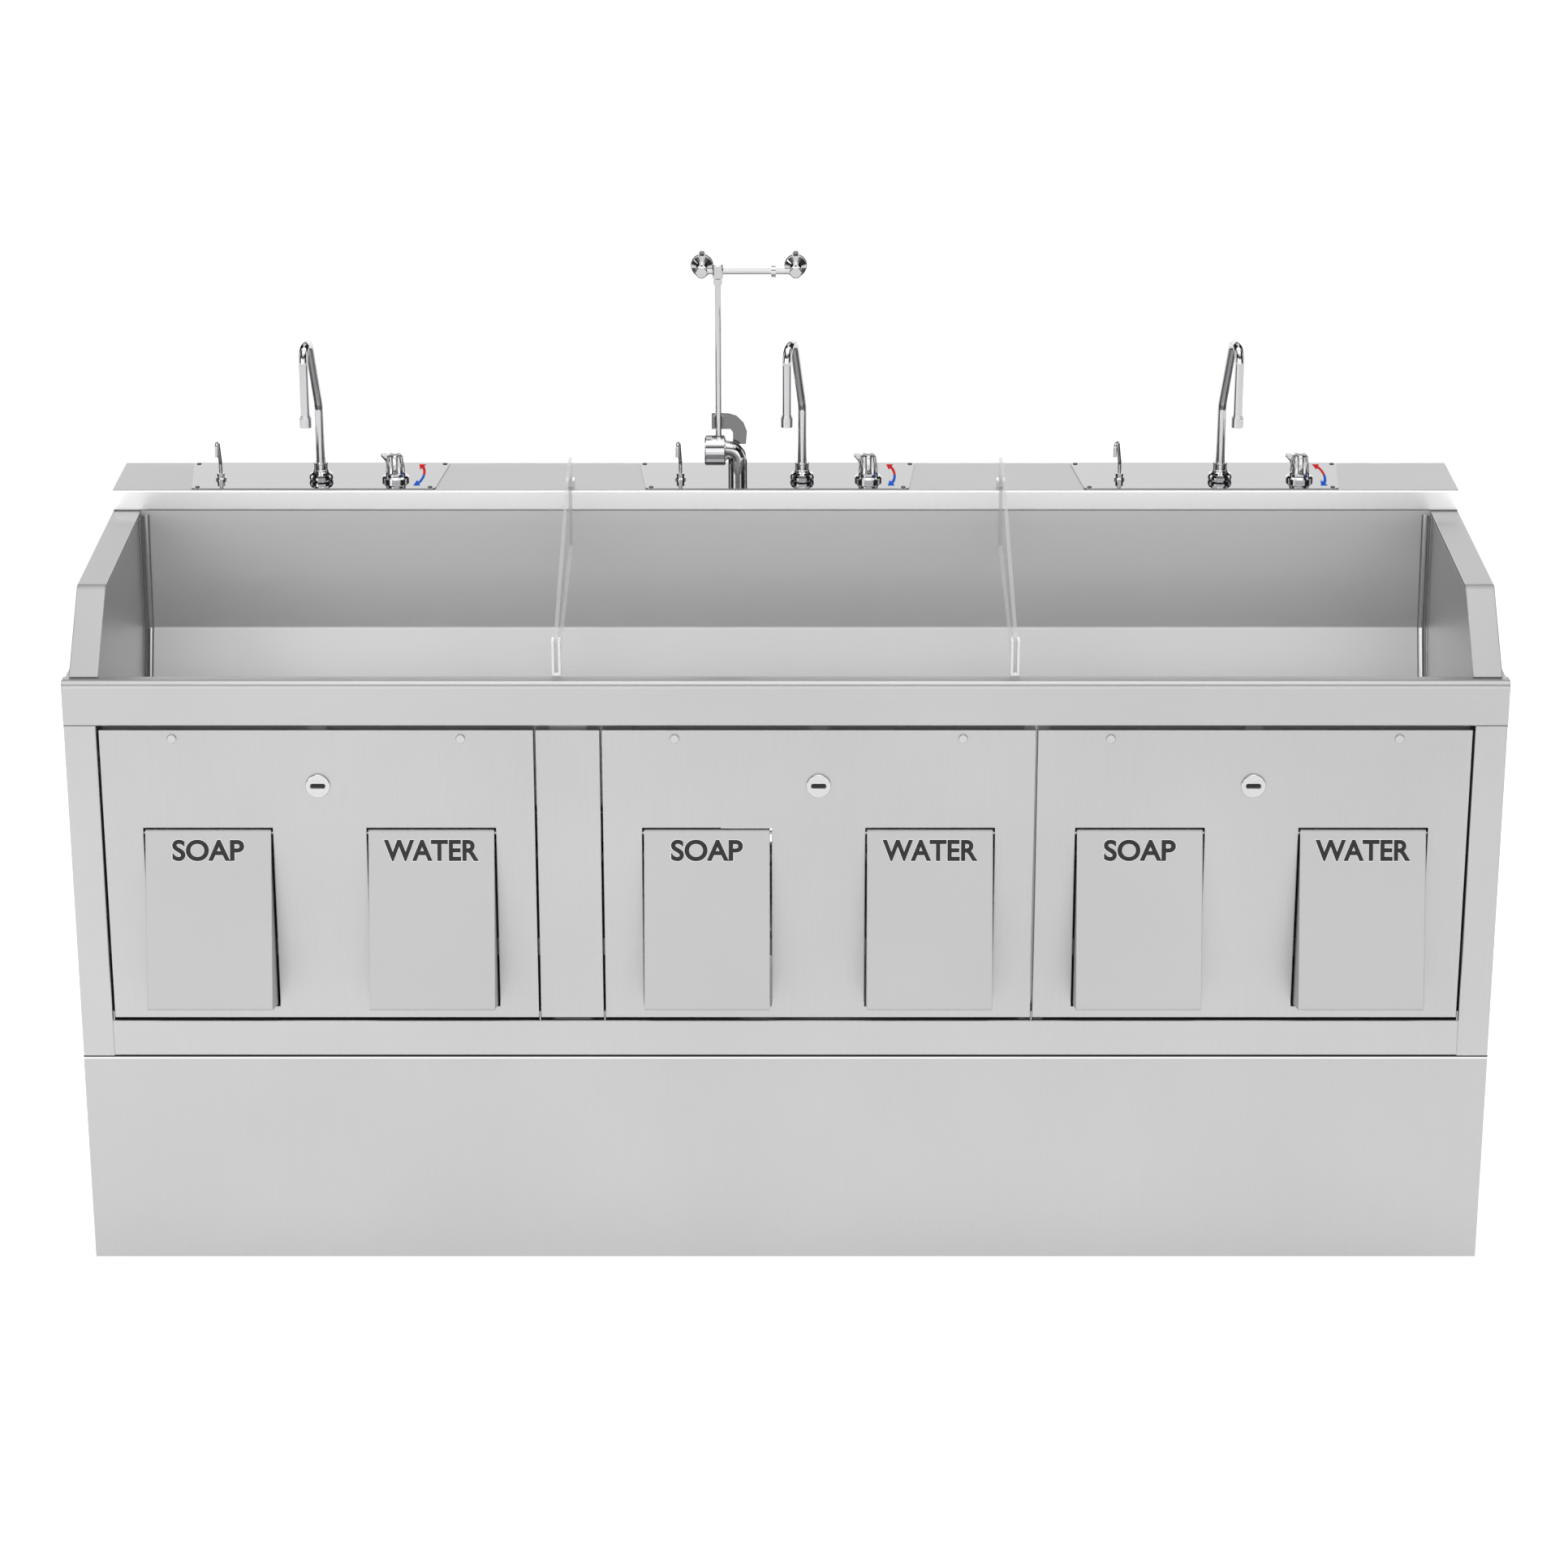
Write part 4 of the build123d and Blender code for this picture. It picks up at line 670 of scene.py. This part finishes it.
def mixing_knob(number):
    """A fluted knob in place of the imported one, with its thumb lever."""
    low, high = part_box(f"knob_{number}")
    radius = (high[1] - low[1]) / 2
    place = Vector((high[0] - radius, (low[1] + high[1]) / 2, low[2]))
    knob = ring_stack(knob_rings, radius, high[2] - low[2], place, knob_segments)
    for corner in knob.data.vertices:
        share = corner.co.z / (high[2] - low[2])
        if fluted_from < share < fluted_to:
            angle = math.atan2(corner.co.y, corner.co.x)
            pinch = 1 - flute_depth * (0.5 - 0.5 * math.cos(flutes * angle)) ** 2
            corner.co.x *= pinch
            corner.co.y *= pinch
    keep(knob, f"fluted_knob_{number}", f"knob_{number}", chrome, 40)
    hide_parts(f"knob_{number}")
    bpy.ops.object.select_all(action="DESELECT")
    bpy.ops.mesh.primitive_circle_add(vertices=len(lever_outline), radius=1, fill_type="NGON")
    lever = bpy.context.object
    for corner, (reach, height) in zip(lever.data.vertices, lever_outline):
        corner.co = (-reach * radius, lever_thickness / 2, height * (high[2] - low[2]))
    bpy.ops.object.mode_set(mode="EDIT")
    bpy.ops.mesh.select_all(action="SELECT")
    bpy.ops.mesh.extrude_region_move(TRANSFORM_OT_translate={"value": (0, -lever_thickness, 0)})
    bpy.ops.mesh.select_all(action="SELECT")
    bpy.ops.mesh.normals_make_consistent(inside=False)
    bpy.ops.object.mode_set(mode="OBJECT")
    rounding = lever.modifiers.new("rounding", "BEVEL")
    rounding.width = lever_rounding
    rounding.segments = 4
    bpy.ops.object.modifier_apply(modifier=rounding.name)
    lever.location = place
    lever.rotation_euler = (0, 0, lever_turn)
    keep(lever, f"knob_lever_{number}", f"knob_{number}", chrome, 40)


for number in (1, 2, 3):
    mixing_knob(number)

# ---------------------------------------------------------------- hot and cold arrows
# A curved double arrow is enamelled on each plate to the right of its knob: red towards the
# wall for hot, blue towards the user for cold. It is drawn long, so it reads as round from in front.
arrow_steps = 12
arrow_radius = 0.017
arrow_band = 0.0042
arrow_span = math.radians(46)
arrow_length_stretch = 3.9
arrow_set_back = 0.028
arrow_head = 0.0115
arrow_point = math.radians(30)
arrow_set_off = 0.0285
enamel_thickness = 0.00025
enamel_lift = 0.00002


def enamel(name, colour):
    """A matt fired enamel with a slight mottle."""
    finish = bpy.data.materials.new(name)
    finish.use_nodes = True
    tree = finish.node_tree
    shader = tree.nodes["Principled BSDF"]
    mottle = add_node(tree, "ShaderNodeTexNoise")
    mottle.inputs["Scale"].default_value = 400.0
    place = add_node(tree, "ShaderNodeTexCoord")
    tree.links.new(place.outputs["Object"], mottle.inputs["Vector"])
    tint = add_node(tree, "ShaderNodeMix", data_type="RGBA")
    tint.inputs[6].default_value = (*(channel * 0.9 for channel in colour), 1)
    tint.inputs[7].default_value = (*colour, 1)
    tree.links.new(mottle.outputs["Fac"], tint.inputs["Factor"])
    tree.links.new(tint.outputs[2], shader.inputs["Base Color"])
    shader.inputs["Roughness"].default_value = 0.6
    shader.inputs["Specular IOR Level"].default_value = 0.02
    return finish


hot_red = enamel("hot_red", (0.74, 0.008, 0.010))
cold_blue = enamel("cold_blue", (0.006, 0.11, 0.64))


def half_arrow(number, side, name, finish):
    """One coloured half: an arc from the middle of the arrow, ending in a pointed head."""
    low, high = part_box(f"knob_{number}")
    centre = Vector((high[0] - (high[1] - low[1]) / 2 + arrow_set_off, (low[1] + high[1]) / 2, 0))
    plate_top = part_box("deck_plates")[1][2]
    inner, outer = [], []
    for step in range(arrow_steps + 1):
        angle = arrow_span * step / arrow_steps
        for ring, radius in ((inner, arrow_radius - arrow_band / 2), (outer, arrow_radius + arrow_band / 2)):
            ring.append((radius * math.cos(angle), side * radius * math.sin(angle)))
    head = []
    for radius, angle in (
        (arrow_radius - arrow_head / 2, arrow_span),
        (arrow_radius, arrow_span + arrow_point),
        (arrow_radius + arrow_head / 2, arrow_span),
    ):
        head.append((radius * math.cos(angle), side * radius * math.sin(angle)))
    outline = inner + head + outer[::-1]
    bpy.ops.object.select_all(action="DESELECT")
    bpy.ops.mesh.primitive_circle_add(vertices=len(outline), radius=1, fill_type="NGON")
    arrow = bpy.context.object
    for corner, (x, y) in zip(arrow.data.vertices, outline):
        corner.co = (x, y * arrow_length_stretch, 0)
    bpy.ops.object.mode_set(mode="EDIT")
    bpy.ops.mesh.select_all(action="SELECT")
    bpy.ops.mesh.extrude_region_move(TRANSFORM_OT_translate={"value": (0, 0, enamel_thickness)})
    bpy.ops.mesh.select_all(action="SELECT")
    bpy.ops.mesh.normals_make_consistent(inside=False)
    bpy.ops.object.mode_set(mode="OBJECT")
    arrow.location = (centre.x, centre.y + arrow_set_back, plate_top + enamel_lift)
    keep(arrow, name, "cabinet", finish, 20)


for number in (1, 2, 3):
    half_arrow(number, 1, f"hot_arrow_{number}", hot_red)
    half_arrow(number, -1, f"cold_arrow_{number}", cold_blue)

# ---------------------------------------------------------------- swing-down eyewash
# A chromed elbow and turning valve carry the pole, which rests upright in its clip. Two spray
# heads look back to the wall under grey moulded dust caps.
dress(chrome, "eyewash_arm")
# The clip plate's front-facing faces get a painted shade, near black, and its edges a painted highlight.
clip_chrome = metal(
    "clip_chrome", (0.52, 0.52, 0.53), 0.08, (60, 60, 60), (0.75, 0.75, 0.75), 0.01, 0.0006, 0.02,
    extra=[(painted_facing_light, facing_front, 0.17, 0.95)],
)
dress(clip_chrome, "eyewash_valve")


def moulded(name, colour, roughness, speck=60.0):
    """A moulded plastic with a fine texture and slightly uneven colour."""
    finish = bpy.data.materials.new(name)
    finish.use_nodes = True
    tree = finish.node_tree
    shader = tree.nodes["Principled BSDF"]
    shader.inputs["Roughness"].default_value = roughness
    place = add_node(tree, "ShaderNodeTexCoord")
    mottle = add_node(tree, "ShaderNodeTexNoise")
    mottle.inputs["Scale"].default_value = speck
    tree.links.new(place.outputs["Object"], mottle.inputs["Vector"])
    tint = add_node(tree, "ShaderNodeMix", data_type="RGBA")
    tint.inputs[6].default_value = (*(channel * 0.88 for channel in colour), 1)
    tint.inputs[7].default_value = (*colour, 1)
    tree.links.new(mottle.outputs["Fac"], tint.inputs["Factor"])
    tree.links.new(tint.outputs[2], shader.inputs["Base Color"])
    pores = add_node(tree, "ShaderNodeTexNoise")
    pores.inputs["Scale"].default_value = 2500.0
    tree.links.new(place.outputs["Object"], pores.inputs["Vector"])
    relief = add_node(tree, "ShaderNodeBump")
    relief.inputs["Strength"].default_value = 0.12
    relief.inputs["Distance"].default_value = 0.0002
    tree.links.new(pores.outputs["Fac"], relief.inputs["Height"])
    tree.links.new(relief.outputs["Normal"], shader.inputs["Normal"])
    return finish


cap_grey = moulded("cap_grey", (0.16, 0.165, 0.17), 0.4)
dress(cap_grey, "eyewash_cap_left", "eyewash_cap_right")

# ---------------------------------------------------------------- valves and plumbing
# Brass valves and soap pumps stand on the valve rail, with drawn steel supply tube to the deck,
# drawn steel waste pipe to the wall, and milky soap containers on the cabinet floor.
# The brass and pipe edges get a painted highlight through a light edge grey.
brass = metal("valve_brass", (0.62, 0.43, 0.16), 0.3, (300, 300, 300), (0.85, 0.66, 0.32), 0.1, 0.001, 0.1)
dress(brass, "water_valves", "soap_pumps")
pipe_metal = metal("drawn_pipe", (0.60, 0.60, 0.61), 0.22, grain_up, (0.75, 0.75, 0.75), 0.06, 0.001, 0.08)
dress(pipe_metal, "waste_pipes", "supply_pipes")
bottle_milk = moulded("bottle_milk", (0.80, 0.82, 0.80), 0.35, 14.0)
bottle_milk.node_tree.nodes["Principled BSDF"].inputs["Subsurface Weight"].default_value = 0.15
dress(bottle_milk, "soap_bottles")
